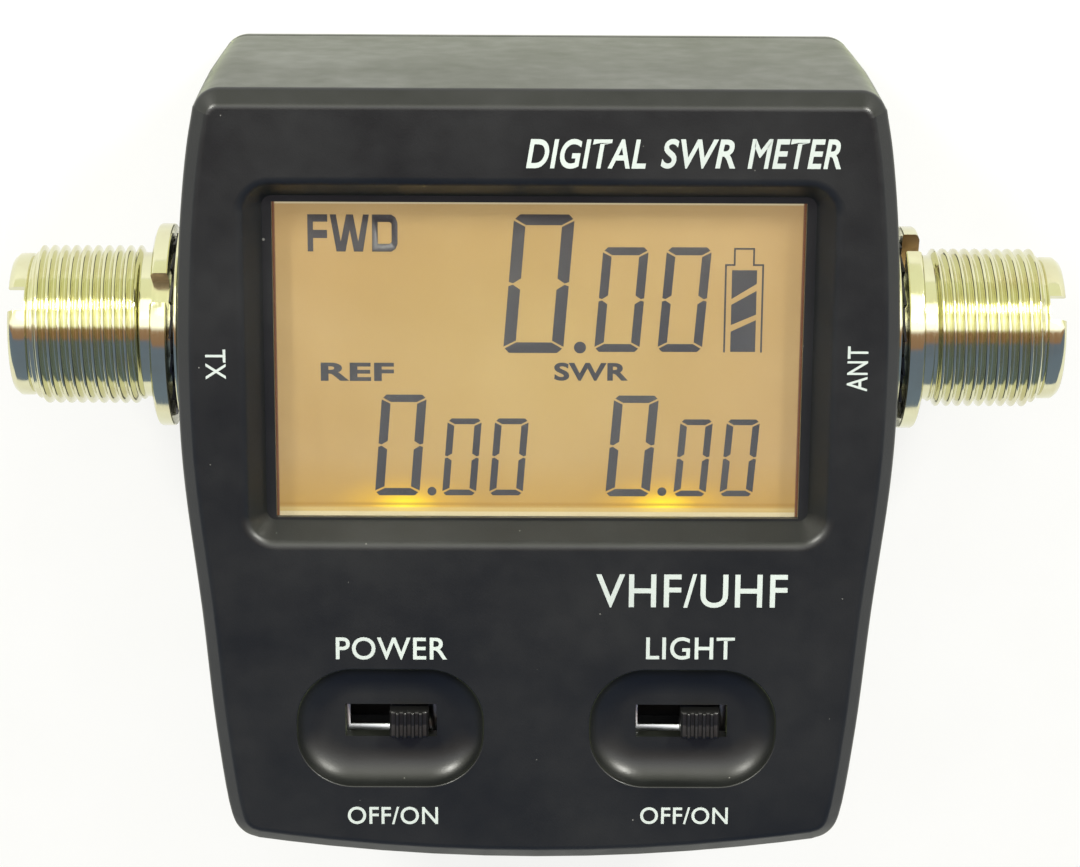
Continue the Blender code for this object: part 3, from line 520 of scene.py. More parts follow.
def glowing_glass_material():
    """The lit ground of the display: even amber, hot spots over the lamps, a bright line round the edge."""
    material = bpy.data.materials.new("lcd_ground")
    material.use_nodes = True
    tree = material.node_tree
    shader = tree.nodes["Principled BSDF"]
    place = node(tree, 'ShaderNodeTexCoord').outputs['Object']
    axes = node(tree, 'ShaderNodeSeparateXYZ', {0: place})
    x = maths(tree, 'DIVIDE', axes.outputs[0], MM)
    y = maths(tree, 'SUBTRACT', maths(tree, 'DIVIDE', axes.outputs[1], MM), AXIS_Y)
    ground = blended(tree, between(tree, x, -26.0, 26.0), (0.49, 0.315, 0.120, 1), (0.49, 0.315, 0.130, 1))
    far = node(tree, 'ShaderNodeVectorMath', {0: node(tree, 'ShaderNodeCombineXYZ',
                                                      {0: maths(tree, 'DIVIDE', x, 27.0),
                                              1: maths(tree, 'DIVIDE', y, 19.0)}).outputs[0]},
               operation='LENGTH')
    middle = between(tree, far.outputs['Value'], 0.15, 1.15, 1.0, 0.0)
    ground = blended(tree, middle, ground, (0.520, 0.360, 0.130, 1))
    haze = node(tree, 'ShaderNodeTexNoise', {'Vector': place, 'Scale': 110.0, 'Detail': 3.0})
    ground = blended(tree, between(tree, haze.outputs[0], 0.35, 0.7, 0.0, 0.16), ground,
                     (0.70, 0.50, 0.22, 1))
    low_band = between(tree, y, -15.0, -9.5, 1.0, 0.0)
    ground = blended(tree, maths(tree, 'MULTIPLY', low_band, 0.65), ground, (0.50, 0.285, 0.03, 1))
    for lamp in LAMPS:
        dx = maths(tree, 'DIVIDE', maths(tree, 'SUBTRACT', x, lamp), HALO[0])
        dy = maths(tree, 'DIVIDE', maths(tree, 'SUBTRACT', y, LAMP_Y), HALO[1])
        reach = maths(tree, 'SQRT', maths(tree, 'ADD', maths(tree, 'MULTIPLY', dx, dx),
                                          maths(tree, 'MULTIPLY', dy, dy)))
        halo = maths(tree, 'POWER', between(tree, reach, 0.0, 1.0, 1.0, 0.0), 1.6)
        ground = blended(tree, halo, ground, (1.0, 0.57, 0.004, 1))
        core = maths(tree, 'POWER', between(tree, reach, 0.0, 0.42, 1.0, 0.0), 1.2)
        ground = blended(tree, core, ground, (1.35, 1.0, 0.02, 1))
    line = maths(tree, 'MULTIPLY', between(tree, y, -14.42, -14.30), between(tree, y, -14.2, -14.0, 1.0, 0.0))
    ground = blended(tree, maths(tree, 'MULTIPLY', line, 0.6), ground, (0.42, 0.22, 0.03, 1))
    strip = between(tree, y, -14.65, -14.45, 1.0, 0.0)
    ground = blended(tree, maths(tree, 'MULTIPLY', strip, 0.7), ground, (0.66, 0.50, 0.20, 1))
    lower = between(tree, y, -15.02, -14.94, 1.0, 0.0)
    upper = between(tree, y, 14.78, 14.86)
    frame_line = maths(tree, 'MAXIMUM', lower, upper)
    ground = blended(tree, frame_line, ground, (0.70, 0.60, 0.38, 1))
    sides = between(tree, maths(tree, 'ABSOLUTE', x), 24.48, 24.58)
    ground = blended(tree, sides, ground, (0.16, 0.06, 0.03, 1))
    grit = node(tree, 'ShaderNodeTexNoise', {'Vector': place, 'Scale': 9000.0, 'Detail': 1.0})
    ground = blended(tree, between(tree, grit.outputs[0], 0.3, 0.7, 0.0, 0.10), ground, (0.40, 0.27, 0.10, 1))
    dust = speckle(tree, place, 0.0032, 0.08)
    ground = blended(tree, maths(tree, 'MULTIPLY', dust, 0.6), ground, (0.9, 0.8, 0.55, 1))
    tree.links.new(ground, shader.inputs["Emission Color"])
    shader.inputs["Emission Strength"].default_value = GLOW_STRENGTH
    tree.links.new(blended(tree, 0.82, ground, (0.0, 0.0, 0.0, 1)), shader.inputs["Base Color"])
    tree.links.new(between(tree, haze.outputs[0], 0.3, 0.7, 0.28, 0.42), shader.inputs["Roughness"])
    return material


def recoat(names, material):
    """Give CAD nodes a finish in their first slot."""
    for name in names:
        nodes[name].data.materials.clear()
        nodes[name].data.materials.append(material)


recoat(("display_window",), window_material())
recoat(("lcd_glass",), glowing_glass_material())

lcd_dark = finished("lcd_dark_areas", moulded,
                    {"Colour": (0.020, 0.020, 0.022, 1), "Cloud Colour": (0.030, 0.029, 0.028, 1),
                     "Dust Colour": (0.10, 0.09, 0.08, 1), "Grain Size": 0.0003, "Grain Depth": 0.000001,
                     "Gloss": 0.5, "Dust": 0.02})
ART_THICK = 0.02


def raised_shapes(name, shapes):
    """Flat shapes given by their corners, as thin dark areas on top of the glass."""
    bm = bmesh.new()
    for corners in shapes:
        skin(bm, [[(px, AXIS_Y + py, level) for px, py in corners]
                  for level in (GLASS_TOP, GLASS_TOP + ART_THICK)])
    piece = make_piece(name, bm, lcd_dark, 20)
    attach(piece, "case")
    return piece


def zero_digit(low, high, bar, beam, gap=0.13):
    """The six lit segments of a leaning nought, each a list of corners."""
    lean = math.tan(math.radians(4.4))
    tall = high[1] - low[1]
    wide = high[0] - low[0] - tall * lean
    nick = beam * 0.42
    half = tall / 2
    top = [(nick + gap, tall), (wide - nick - gap, tall), (wide - gap * 0.9, tall - nick),
           (wide - bar - gap * 0.3, tall - beam), (bar + gap * 0.3, tall - beam), (gap * 0.9, tall - nick)]
    upright = [(0.0, tall - nick - gap * 1.3), (bar, tall - beam - gap * 1.3),
               (bar, half + gap / 2 + bar * 0.42),
               (bar * 0.36, half + gap / 2), (0.0, half + gap / 2 + bar * 0.12)]
    right = [(wide - u, v) for u, v in upright]
    found = []
    for shape in (top, upright, right):
        found.append(shape)
        found.append([(u, tall - v) for u, v in shape])
    return [[(low[0] + u + v * lean, low[1] + v) for u, v in shape] for shape in found]


def round_dot(centre, radius, segments=24):
    return [(centre[0] + radius * math.cos(2 * math.pi * k / segments),
             centre[1] + radius * math.sin(2 * math.pi * k / segments)) for k in range(segments)]


forward_digits = (zero_digit((-3.33, 0.63), (3.32, 13.88), 1.12, 1.02)
                  + zero_digit((5.22, 0.76), (10.23, 10.80), 0.84, 0.76)
                  + zero_digit((11.15, 0.78), (16.10, 10.82), 0.84, 0.76) + [round_dot((3.90, 1.17), 0.57)])
reflected_digits = (zero_digit((-15.47, -13.38), (-10.48, -3.47), 0.86, 0.72)
                    + zero_digit((-9.09, -13.36), (-5.29, -5.78), 0.66, 0.56)
                    + zero_digit((-4.62, -13.35), (-0.85, -5.76), 0.66, 0.56)
                    + [round_dot((-10.04, -12.97), 0.43)])
ratio_digits = (zero_digit((6.43, -13.41), (11.41, -3.48), 0.86, 0.72)
                + zero_digit((12.91, -13.38), (16.56, -5.79), 0.66, 0.56)
                + zero_digit((17.30, -13.37), (21.01, -5.78), 0.66, 0.56)
                + [round_dot((11.83, -12.94), 0.43)])
raised_shapes("forward_digits", forward_digits)
raised_shapes("reflected_digits", reflected_digits)
raised_shapes("ratio_digits", ratio_digits)
LINE = 0.17
battery_sign = [
    [(17.35, 0.75), (17.35 + LINE, 0.75), (17.35 + LINE, 9.24), (17.35, 9.24)],
    [(20.99 - LINE, 0.75), (20.99, 0.75), (20.99, 9.24), (20.99 - LINE, 9.24)],
    [(17.52, 9.24 - LINE), (18.15 + LINE, 9.24 - LINE), (18.15 + LINE, 9.24), (17.52, 9.24)],
    [(20.11 - LINE, 9.24 - LINE), (20.82, 9.24 - LINE), (20.82, 9.24), (20.11 - LINE, 9.24)],
    [(18.15, 9.24), (18.15 + LINE, 9.24), (18.15 + LINE, 10.78), (18.15, 10.78)],
    [(20.11 - LINE, 9.24), (20.11, 9.24), (20.11, 10.78), (20.11 - LINE, 10.78)],
    [(18.32, 10.78 - LINE), (19.94, 10.78 - LINE), (19.94, 10.78), (18.32, 10.78)],
    [(18.01, 5.89), (20.35, 7.36), (20.35, 8.66), (18.01, 8.66)],
    [(18.01, 3.39), (20.35, 4.41), (20.35, 6.69), (18.01, 5.34)],
    [(18.01, 0.81), (20.35, 0.81), (20.35, 3.88), (18.01, 2.76)]]
raised_shapes("battery_sign", battery_sign)
forward_word = [
    [(-21.50, 10.28), (-20.98, 10.28), (-20.98, 11.55), (-19.68, 11.55), (-19.68, 12.33), (-20.98, 12.33),
     (-20.98, 13.10), (-19.64, 13.10), (-19.64, 13.80), (-21.50, 13.80)],
    [(-19.42, 13.80), (-18.84, 13.80), (-18.42, 11.23), (-17.90, 13.80), (-17.26, 13.80), (-16.80, 11.23),
     (-16.34, 13.80), (-15.78, 13.80), (-16.36, 10.28), (-17.20, 10.28), (-17.58, 12.33), (-17.98, 10.28),
     (-18.82, 10.28)],
    [(-15.52, 10.28), (-13.72, 10.28), (-13.34, 10.54), (-13.14, 11.03), (-13.14, 13.04), (-13.34, 13.54),
     (-13.72, 13.80), (-15.52, 13.80)]]
forward_sign = raised_shapes("forward_word", forward_word)
bm = bmesh.new()
skin(bm, [[(px, AXIS_Y + py, level) for px, py in ((-14.98, 11.03), (-13.88, 11.03), (-13.70, 11.21),
                                                   (-13.70, 12.92),
                                                   (-13.88, 13.10), (-14.98, 13.10))]
          for level in (GLASS_TOP - 0.5, GLASS_TOP + 0.5)])
carve(forward_sign, bm)
lettering("reflected_word", "REF", (-20.45, -2.15), (-13.57, -0.38), GLASS_TOP, lcd_dark, 0.035,
          thick=ART_THICK)
lettering("ratio_word", "SWR", (1.49, -2.06), (8.43, -0.30), GLASS_TOP, lcd_dark, 0.035, thick=ART_THICK)


recoat(("lcd_holder",), finished("holder_white_abs", moulded,
                                 {"Colour": (0.70, 0.70, 0.66, 1), "Cloud Colour": (0.62, 0.61, 0.56, 1),
                                  "Grain Depth": 0.000006, "Gloss": 0.42, "Dust": 0.02}))
recoat(("contact_strip",), finished("striped_silicone", moulded,
                                    {"Colour": (0.05, 0.05, 0.055, 1), "Cloud Colour": (0.08, 0.08, 0.085, 1),
                                     "Grain Depth": 0.00001, "Gloss": 0.7, "Dust": 0.02}))
recoat(("light_guide",), finished("light_guide_acrylic", moulded,
                                  {"Colour": (0.80, 0.62, 0.34, 1), "Cloud Colour": (0.86, 0.68, 0.40, 1),
                                   "Grain Depth": 0.000004, "Gloss": 0.2, "Dust": 0.02}))
recoat(("backlight_lamp_left", "backlight_lamp_right"),
       finished("amber_lamp_resin", moulded,
                {"Colour": (0.9, 0.42, 0.04, 1), "Cloud Colour": (0.95, 0.55, 0.08, 1),
                 "Grain Depth": 0.000003, "Gloss": 0.18, "Dust": 0.01},
                Emission_Color=(1.0, 0.55, 0.08, 1), Emission_Strength=1.0))

# ------------------------------------------------------------------ boards
# The main board and the small coupler board are glass-fibre laminate with green lacquer over copper
# tracks. Four self-tapping screws hold the main board to the posts of the case front.


def lacquered_board():
    """Green lacquer over copper tracks, with tinned pads where tracks end."""
    material = bpy.data.materials.new("green_lacquered_board")
    material.use_nodes = True
    tree = material.node_tree
    shader = tree.nodes["Principled BSDF"]
    place = node(tree, 'ShaderNodeTexCoord').outputs['Object']
    steps = node(tree, 'ShaderNodeVectorMath', {0: place, 1: (0.0016, 0.0016, 0.0016)}, operation='SNAP')
    tracks = node(tree, 'ShaderNodeTexNoise', {'Vector': steps.outputs[0], 'Scale': 260.0, 'Detail': 1.0})
    copper = between(tree, tracks.outputs[0], 0.50, 0.52)
    pads = speckle(tree, place, 0.0021, 0.35)
    weave = node(tree, 'ShaderNodeTexNoise', {'Vector': place, 'Scale': 2600.0, 'Detail': 1.0})
    green = blended(tree, copper, (0.010, 0.075, 0.028, 1), (0.030, 0.150, 0.055, 1))
    green = blended(tree, between(tree, weave.outputs[0], 0.3, 0.7, 0.0, 0.25), green, (0.05, 0.16, 0.06, 1))
    tree.links.new(blended(tree, pads, green, (0.62, 0.60, 0.54, 1)), shader.inputs["Base Color"])
    tree.links.new(between(tree, pads, 0.0, 1.0, 0.34, 0.28), shader.inputs["Roughness"])
    tree.links.new(pads, shader.inputs["Metallic"])
    lift = node(tree, 'ShaderNodeBump', {'Strength': 0.6, 'Distance': 0.00004, 'Height': copper})
    tree.links.new(lift.outputs[0], shader.inputs["Normal"])
    return material


def turned_finish():
    """Bright plated metal: fine turning lines round the socket axis, cloudy tarnish and small pits."""
    inputs = {"Colour": (0.8, 0.78, 0.7, 1), "Tarnish Colour": (0.6, 0.52, 0.36, 1), "Line Width": 0.00016,
              "Line Depth": 0.000002, "Gloss": 0.14, "Tarnish": 0.3}
    group, given, result = new_group("turned_finish", inputs, FINISH_OUTPUTS)
    place = node(group, 'ShaderNodeTexCoord').outputs['Object']
    centred = node(group, 'ShaderNodeVectorMath', {0: place, 1: (0.0, AXIS_Y * MM, AXIS_Z * MM)},
                   operation='SUBTRACT')
    axes = node(group, 'ShaderNodeSeparateXYZ', {0: centred.outputs[0]})
    flat = node(group, 'ShaderNodeCombineXYZ', {1: axes.outputs[1], 2: axes.outputs[2]})
    radius = node(group, 'ShaderNodeVectorMath', {0: flat.outputs[0]}, operation='LENGTH')
    turned_place = node(group, 'ShaderNodeCombineXYZ', {0: axes.outputs[0], 1: radius.outputs['Value']})
    lines = node(group, 'ShaderNodeTexNoise', {'Vector': turned_place.outputs[0], 'Detail': 2.0,
                                               'Scale': maths(group, 'DIVIDE', 1.0,
                                                              given.outputs["Line Width"])})
    cloud = node(group, 'ShaderNodeTexNoise', {'Vector': place, 'Scale': 330.0, 'Detail': 4.0})
    pits = speckle(group, place, 0.0009, 0.10)
    stain = maths(group, 'MULTIPLY', between(group, cloud.outputs[0], 0.48, 0.75), given.outputs["Tarnish"])
    stain = maths(group, 'MAXIMUM', stain, maths(group, 'MULTIPLY', pits, 0.5))
    group.links.new(blended(group, stain, given.outputs["Colour"], given.outputs["Tarnish Colour"]),
                    result.inputs["Base Color"])
    rough = maths(group, 'ADD', given.outputs["Gloss"],
                  between(group, lines.outputs[0], 0.3, 0.7, -0.03, 0.05))
    rough = maths(group, 'ADD', rough, maths(group, 'MULTIPLY', stain, 0.2))
    group.links.new(rough, result.inputs["Roughness"])
    bump = node(group, 'ShaderNodeBump', {'Strength': 1.0, 'Distance': given.outputs["Line Depth"],
                                          'Height': lines.outputs[0]})
    group.links.new(bump.outputs[0], result.inputs["Normal"])
    return group


turned = turned_finish()
screw_steel = finished("zinc_plated_steel", turned,
                       {"Colour": (0.52, 0.53, 0.55, 1), "Tarnish Colour": (0.30, 0.27, 0.22, 1),
                        "Line Width": 0.0003, "Gloss": 0.30, "Tarnish": 0.5}, Metallic=1.0)
black_nylon = finished("black_moulded_nylon", moulded,
                       {"Colour": (0.004, 0.004, 0.004, 1), "Cloud Colour": (0.007, 0.007, 0.007, 1),
                        "Grain Size": 0.0001, "Grain Depth": 0.000003, "Gloss": 0.32, "Dust": 0.06})
recoat(("main_board", "coupler_board"), lacquered_board())
recoat(["board_screw_%d" % k for k in range(1, 5)], screw_steel)
recoat(("processor_chip", "power_chip"), black_nylon)
recoat(("capacitor_left", "capacitor_right"),
       finished("capacitor_aluminium", turned,
                {"Colour": (0.62, 0.63, 0.64, 1), "Line Width": 0.0004, "Gloss": 0.28}, Metallic=1.0))

# ------------------------------------------------------------------ slide switches
# Each switch is a folded, tinned steel can over a black nylon base on the board. The black nylon
# slider's cap stands up through the slot into the dish, and its top is ribbed for the fingertip.

tinned_can = finished("tinned_switch_can", turned,
                      {"Colour": (0.60, 0.62, 0.62, 1), "Tarnish Colour": (0.40, 0.40, 0.38, 1),
                       "Line Width": 0.0008, "Gloss": 0.34, "Tarnish": 0.3}, Metallic=1.0)
RIBS = 4
RIB_PITCH = 0.74
CAP_HALF = 1.85
CAN_HALF = (4.8, 2.7)


def switch_housing(name, side):
    """The folded can, open along its top for the slider, closed below by a black insulating base."""
    x = side * SWITCH_X
    low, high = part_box(name + "_switch_can")
    base, top = low.z / MM, high.z / MM
    bm = bmesh.new()
    shell = [((x - CAN_HALF[0], x + CAN_HALF[0]), (SWITCH_Y - CAN_HALF[1], SWITCH_Y + CAN_HALF[1]), 0.5, z)
             for z in (base + 0.5, top - 0.25)]
    shell += [((x - 4.7, x + 4.7), (SWITCH_Y - 2.6, SWITCH_Y + 2.6), 0.5, top - 0.07),
              ((x - 4.55, x + 4.55), (SWITCH_Y - 2.45, SWITCH_Y + 2.45), 0.5, top)]
    skin(bm, [rounded_box_ring(*ring, 4) for ring in shell])
    can = make_piece(name + "_switch_housing", bm, tinned_can, 30)
    can.data.materials.append(black_nylon)
    for x_ends, half_width, heights in (((x - 4.2, x + 4.2), 2.1, (base, top - 0.7)),
                                        ((x - 4.1, x + 3.4), 1.6, (top - 1.5, top + 1.5))):
        bm = bmesh.new()
        block(bm, x_ends, (SWITCH_Y - half_width, SWITCH_Y + half_width), heights)
        for face in bm.faces:
            face.material_index = 1
        carve(can, bm)
    bm = bmesh.new()
    skin(bm, [rounded_box_ring((x - CAN_HALF[0], x + CAN_HALF[0]),
                               (SWITCH_Y - CAN_HALF[1], SWITCH_Y + CAN_HALF[1]), 0.5, z, 4)
              for z in (base, base + 0.45)])
    for face in bm.faces:
        face.material_index = 1
    board = make_piece("base", bm, None, 30)
    bm = bmesh.new()
    bm.from_mesh(can.data)
    bm.from_mesh(board.data)
    bm.to_mesh(can.data)
    bm.free()
    bpy.data.objects.remove(board, do_unlink=True)
    fitted(can, name + "_switch_can")


def ribbed_slider(name, node_name, body):
    """A slider with a ribbed cap that rises towards its lower edge, a stem and the shoe inside the can."""
    low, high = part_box(node_name)
    middle = (low.x + high.x) / 2 / MM
    top = high.z / MM
    half = CAP_HALF
    profile = [(-half, top - 3.9), (-half, top - 0.55), (-half + 0.18, top - 0.34)]
    for k in range(RIBS):
        centre = (k - (RIBS - 1) / 2) * RIB_PITCH
        for step, drop in ((-0.22, 0.34), (-0.17, 0.12), (-0.09, 0.02), (0.0, 0.0), (0.09, 0.02),
                           (0.17, 0.12),
                           (0.22, 0.34)):
            profile.append((centre + step, top - drop))
    profile += [(half - 0.18, top - 0.34), (half, top - 0.55), (half, top - 3.9)]
    bm = bmesh.new()
    for_y = round_corners([(-1.3, 0.0), (-1.3, 1.0), (0.0, 0.62), (1.3, 0.58), (1.3, 0.0)], 0.25, 4)
    rings = []
    for p in for_y[1:-1]:
        sink = (1.0 - p.y) * 0.9
        rings.append([(middle + u, SWITCH_Y + p.x, v - (sink if v > top - 1.0 else 0.0)) for u, v in profile])
    skin(bm, rings)
    piece = make_piece(name, bm, black_nylon, 40)
    bm = bmesh.new()
    block(bm, (middle - 0.8, middle + 0.8), (SWITCH_Y - 0.8, SWITCH_Y + 0.8), (27.5, 31.8))
    block(bm, (middle - 1.6, middle + 1.6), (SWITCH_Y - 1.7, SWITCH_Y + 1.7), (27.0, 28.3))
    carve(piece, bm, 'UNION')
    even_shading(piece, 40)
    fitted(piece, node_name, body)


switch_housing("power", -1)
switch_housing("light", 1)
ribbed_slider("power_slider", "power_switch_knob", "power_knob")
ribbed_slider("light_slider", "light_switch_knob", "light_knob")

# ------------------------------------------------------------------ sockets
# Each socket is a brass body turned on a lathe and nickel plated: a rolled fine thread, a plain collar
# with two keying notches in its rim, and a bored middle that holds a white insulator and the split
# gold-plated centre contact. A flat washer, a toothed washer and a slotted ring nut clamp it outside.

SOCKET_END = 50.9
COLLAR_START = 49.15
COLLAR_RADIUS = 6.95
THREAD = (38.17, 48.75)
PITCH = 1.058
CREST = 7.75
ROOT = 7.1
NECK = 6.8
BORE = 6.05
INNER_END = 25.9
SEAT = 34.1
WASHER_SHIFT = 0.25
TEETH = 16
nickel = finished("bright_nickel", turned,
                  {"Colour": (0.73, 0.72, 0.48, 1), "Tarnish Colour": (0.58, 0.48, 0.27, 1),
                   "Line Width": 0.00018,
                   "Line Depth": 0.0000018, "Gloss": 0.10, "Tarnish": 0.3}, Metallic=1.0)
# Dark brown for the walls of the ring nuts' slots: painted shade for the shadow inside the slots, with some
# grime.
slot_grime_and_shade = finished("slot_grime_and_painted_shade", turned,
                      {"Colour": (0.30, 0.20, 0.11, 1), "Tarnish Colour": (0.10, 0.06, 0.035, 1),
                       "Line Width": 0.0003, "Gloss": 0.40, "Tarnish": 0.8}, Metallic=1.0)
spring_steel = finished("blackened_spring_steel", turned,
                        {"Colour": (0.05, 0.05, 0.052, 1), "Tarnish Colour": (0.03, 0.025, 0.02, 1),
                         "Gloss": 0.38, "Tarnish": 0.5}, Metallic=1.0)
insulator_white = finished("insulator_cream", moulded,
                           {"Colour": (0.74, 0.70, 0.58, 1), "Cloud Colour": (0.66, 0.61, 0.48, 1),
                            "Grain Depth": 0.000004, "Gloss": 0.35, "Dust": 0.04})
gold = finished("gold_plate", turned,
                {"Colour": (0.86, 0.62, 0.26, 1), "Tarnish Colour": (0.6, 0.42, 0.2, 1), "Gloss": 0.2,
                 "Tarnish": 0.3}, Metallic=1.0)
THREAD_FORM = ((0.0, 0.0), (0.07, 0.03), (0.15, 0.22), (0.23, 0.52), (0.31, 0.80), (0.39, 0.95), (0.5, 1.0),
               (0.61, 0.95), (0.69, 0.80), (0.77, 0.52), (0.85, 0.22), (0.93, 0.03))


def on_axis(side, radius, along, angle):
    """A point at a radius and angle round the socket axis, so far out from the middle of the case."""
    return (side * along, AXIS_Y + radius * math.cos(angle), AXIS_Z + radius * math.sin(angle))


def turn_profile(bm, side, profile, segments=96):
    """Turn a closed profile of (radius, distance out) right round the socket axis."""
    skins = [[on_axis(side, radius, along, 2 * math.pi * k / segments) for radius, along in profile]
             for k in range(segments)]
    loops = [[bm.verts.new(p) for p in ring] for ring in skins]
    for k in range(segments):
        first, second = loops[k], loops[(k + 1) % segments]
        for i in range(len(profile)):
            j = (i + 1) % len(profile)
            bm.faces.new((first[i], first[j], second[j], second[i]))


def notch(bm, side, angle, along, radii, width):
    """A box across a round rim, at an angle from straight up towards the display's top edge."""
    turn = Matrix.Rotation(-math.radians(angle), 3, 'X')
    corners = []
    for level in radii:
        for x, y in ((along[0], -width / 2), (along[1], -width / 2), (along[1], width / 2),
                     (along[0], width / 2)):
            corners.append(turn @ Vector((side * x, y, level)) + Vector((0.0, AXIS_Y, AXIS_Z)))
    skin(bm, [corners[:4], corners[4:]])


def threaded_body(side):
    """The socket body with its helical thread, in one closed skin."""
    segments = 120
    turns = round((THREAD[1] - THREAD[0]) / PITCH) + 1
    inner_profile = [(BORE, INNER_END), (BORE + 0.1, INNER_END), (NECK - 0.15, INNER_END),
                     (NECK, INNER_END + 0.15),
                     (NECK, SEAT - 0.2), (ROOT - 0.02, SEAT), (ROOT - 0.02, THREAD[0] - 0.12)]
    tip_profile = [(ROOT - 0.05, THREAD[1] + 0.03), (COLLAR_RADIUS - 0.28, THREAD[1] + 0.10),
                   (COLLAR_RADIUS - 0.28, COLLAR_START - 0.12), (COLLAR_RADIUS - 0.06, COLLAR_START),
                   (COLLAR_RADIUS, COLLAR_START + 0.10), (COLLAR_RADIUS, SOCKET_END - 0.62),
                   (COLLAR_RADIUS - 0.03, SOCKET_END - 0.50), (6.58, SOCKET_END - 0.08), (6.47, SOCKET_END),
                   (BORE + 0.12, SOCKET_END), (BORE, SOCKET_END - 0.12)]
    bm = bmesh.new()
    columns = []
    for k in range(segments + 1):
        share = k / segments
        shift = share if side > 0 else 1.0 - share
        column = list(inner_profile)
        for turn in range(-1, turns):
            for phase, rise in THREAD_FORM:
                along = THREAD[0] + (turn + phase + shift) * PITCH
                held = min(max(along, THREAD[0]), THREAD[1])
                fade = min((held - THREAD[0]) / (0.5 * PITCH), (THREAD[1] - held) / (0.5 * PITCH), 1.0)
                column.append((ROOT + (CREST - ROOT) * rise * max(fade, 0.0), held))
        column += tip_profile
        columns.append([bm.verts.new(on_axis(side, radius, along, 2 * math.pi * share)) for radius,
                        along in column])
    for first, second in zip(columns, columns[1:]):
        for i in range(len(first)):
            j = (i + 1) % len(first)
            bm.faces.new((first[i], first[j], second[j], second[i]))
    return bm


def make_socket(name, side, rim_angle, ring_angle):
    body = make_piece(name + "_threaded_body", threaded_body(side), nickel, 50)
    bm = bmesh.new()
    for angle in (rim_angle, rim_angle + 180):
        notch(bm, side, angle, (SOCKET_END - 1.6, SOCKET_END + 1.0), (5.0, 8.5), 2.4)
    carve(body, bm)
    even_shading(body, 50)
    fitted(body, name + "_socket_body")

    bm = bmesh.new()
    turn_profile(bm, side, [(5.75, 29.0), (5.75, 42.4), (5.6, 42.6), (4.9, 42.7), (4.7, 42.45), (3.9, 42.45),
                            (3.7, 42.7), (3.2, 42.7), (3.1, 42.55), (3.1, 29.0)], 64)
    piece = make_piece(name + "_cream_insulator", bm, insulator_white, 30)
    fitted(piece, name + "_insulator")

    bm = bmesh.new()
    turn_profile(bm, side, [(2.8, 29.5), (2.8, 42.75), (2.72, 43.1), (2.5, 43.3), (2.25, 43.25), (2.05, 43.0),
                            (2.0, 42.7), (2.0, 31.0), (0.9, 30.5), (0.9, 26.0), (1.5, 26.0), (1.7, 26.2),
                            (1.7, 29.0)], 48)
    contact = make_piece(name + "_split_contact", bm, gold, 30)
    bm = bmesh.new()
    for angle in (20, 110):
        notch(bm, side, angle, (37.5, 44.0), (-4.0, 4.0), 0.45)
    carve(contact, bm)
    even_shading(contact, 30)
    fitted(contact, name + "_centre_contact")

    bm = bmesh.new()
    turn_profile(bm, side, [(7.4, SEAT + 0.15), (9.8, SEAT + 0.15), (9.93, SEAT + 0.19), (9.99, SEAT + 0.28),
                            (9.99, SEAT + 0.42), (9.93, SEAT + 0.51), (9.8, SEAT + 0.55), (7.4, SEAT + 0.55)])
    bmesh.ops.translate(bm, vec=(0.0, WASHER_SHIFT, 0.0), verts=bm.verts)
    fitted(make_piece(name + "_plain_washer", bm, nickel, 30), name + "_flat_washer")

    bm = bmesh.new()
    rows = []
    for k in range(TEETH):
        for share, radius, lift in ((0.0, 8.35, 0.0), (0.18, 8.35, 0.0), (0.22, 9.0, -0.1), (0.78, 9.0, 0.1),
                                    (0.82, 8.35, 0.0)):
            angle = 2 * math.pi * (k + share) / TEETH
            rows.append([on_axis(side, 7.15, SEAT + 0.8, angle),
                         on_axis(side, radius, SEAT + 0.8 + lift, angle),
                         on_axis(side, radius, SEAT + 1.0 + lift, angle),
                         on_axis(side, 7.15, SEAT + 1.0, angle)])
    loops = [[bm.verts.new(p) for p in row] for row in rows]
    for first, second in zip(loops, loops[1:] + loops[:1]):
        for i in range(4):
            j = (i + 1) % 4
            bm.faces.new((first[i], first[j], second[j], second[i]))
    fitted(make_piece(name + "_shakeproof_washer", bm, spring_steel, 25), name + "_toothed_washer")

    bm = bmesh.new()
    start = SEAT + 1.25
    end = SEAT + 2.9
    turn_profile(bm, side, [(7.15, start), (9.8, start), (9.9, start + 0.1), (9.9, end - 0.42),
                            (9.78, end - 0.2),
                            (9.35, end - 0.02), (9.2, end), (7.25, end), (7.15, end - 0.1)])
    ring = make_piece(name + "_slotted_ring", bm, nickel, 30)
    bm = bmesh.new()
    for angle in (ring_angle, ring_angle + 180):
        notch(bm, side, angle, (start - 0.6, end + 1.0), (7.5, 11.0), 3.0)
    for face in bm.faces:
        # Faces of the cut that reach past 9 mm from the axis, the slot walls, take the dark brown painted
        # shade; the slot floors stay nickel.
        face.material_index = int(max(math.hypot(v.co.y - AXIS_Y, v.co.z - AXIS_Z) for v in face.verts) > 9.0)
    ring.data.materials.append(slot_grime_and_shade)
    carve(ring, bm)
    even_shading(ring, 30)
    fitted(ring, name + "_ring_nut")


make_socket("tx", -1, 34.5, 34.5)
make_socket("ant", 1, 30.0, 70.0)
recoat(("tx_inner_nut", "ant_inner_nut"), nickel)

# ------------------------------------------------------------------ coupler
# Between the sockets lies the power sensor: a tinned trough, a straight copper rod from centre
# contact to centre contact, and two ferrite cores that the rod passes through.

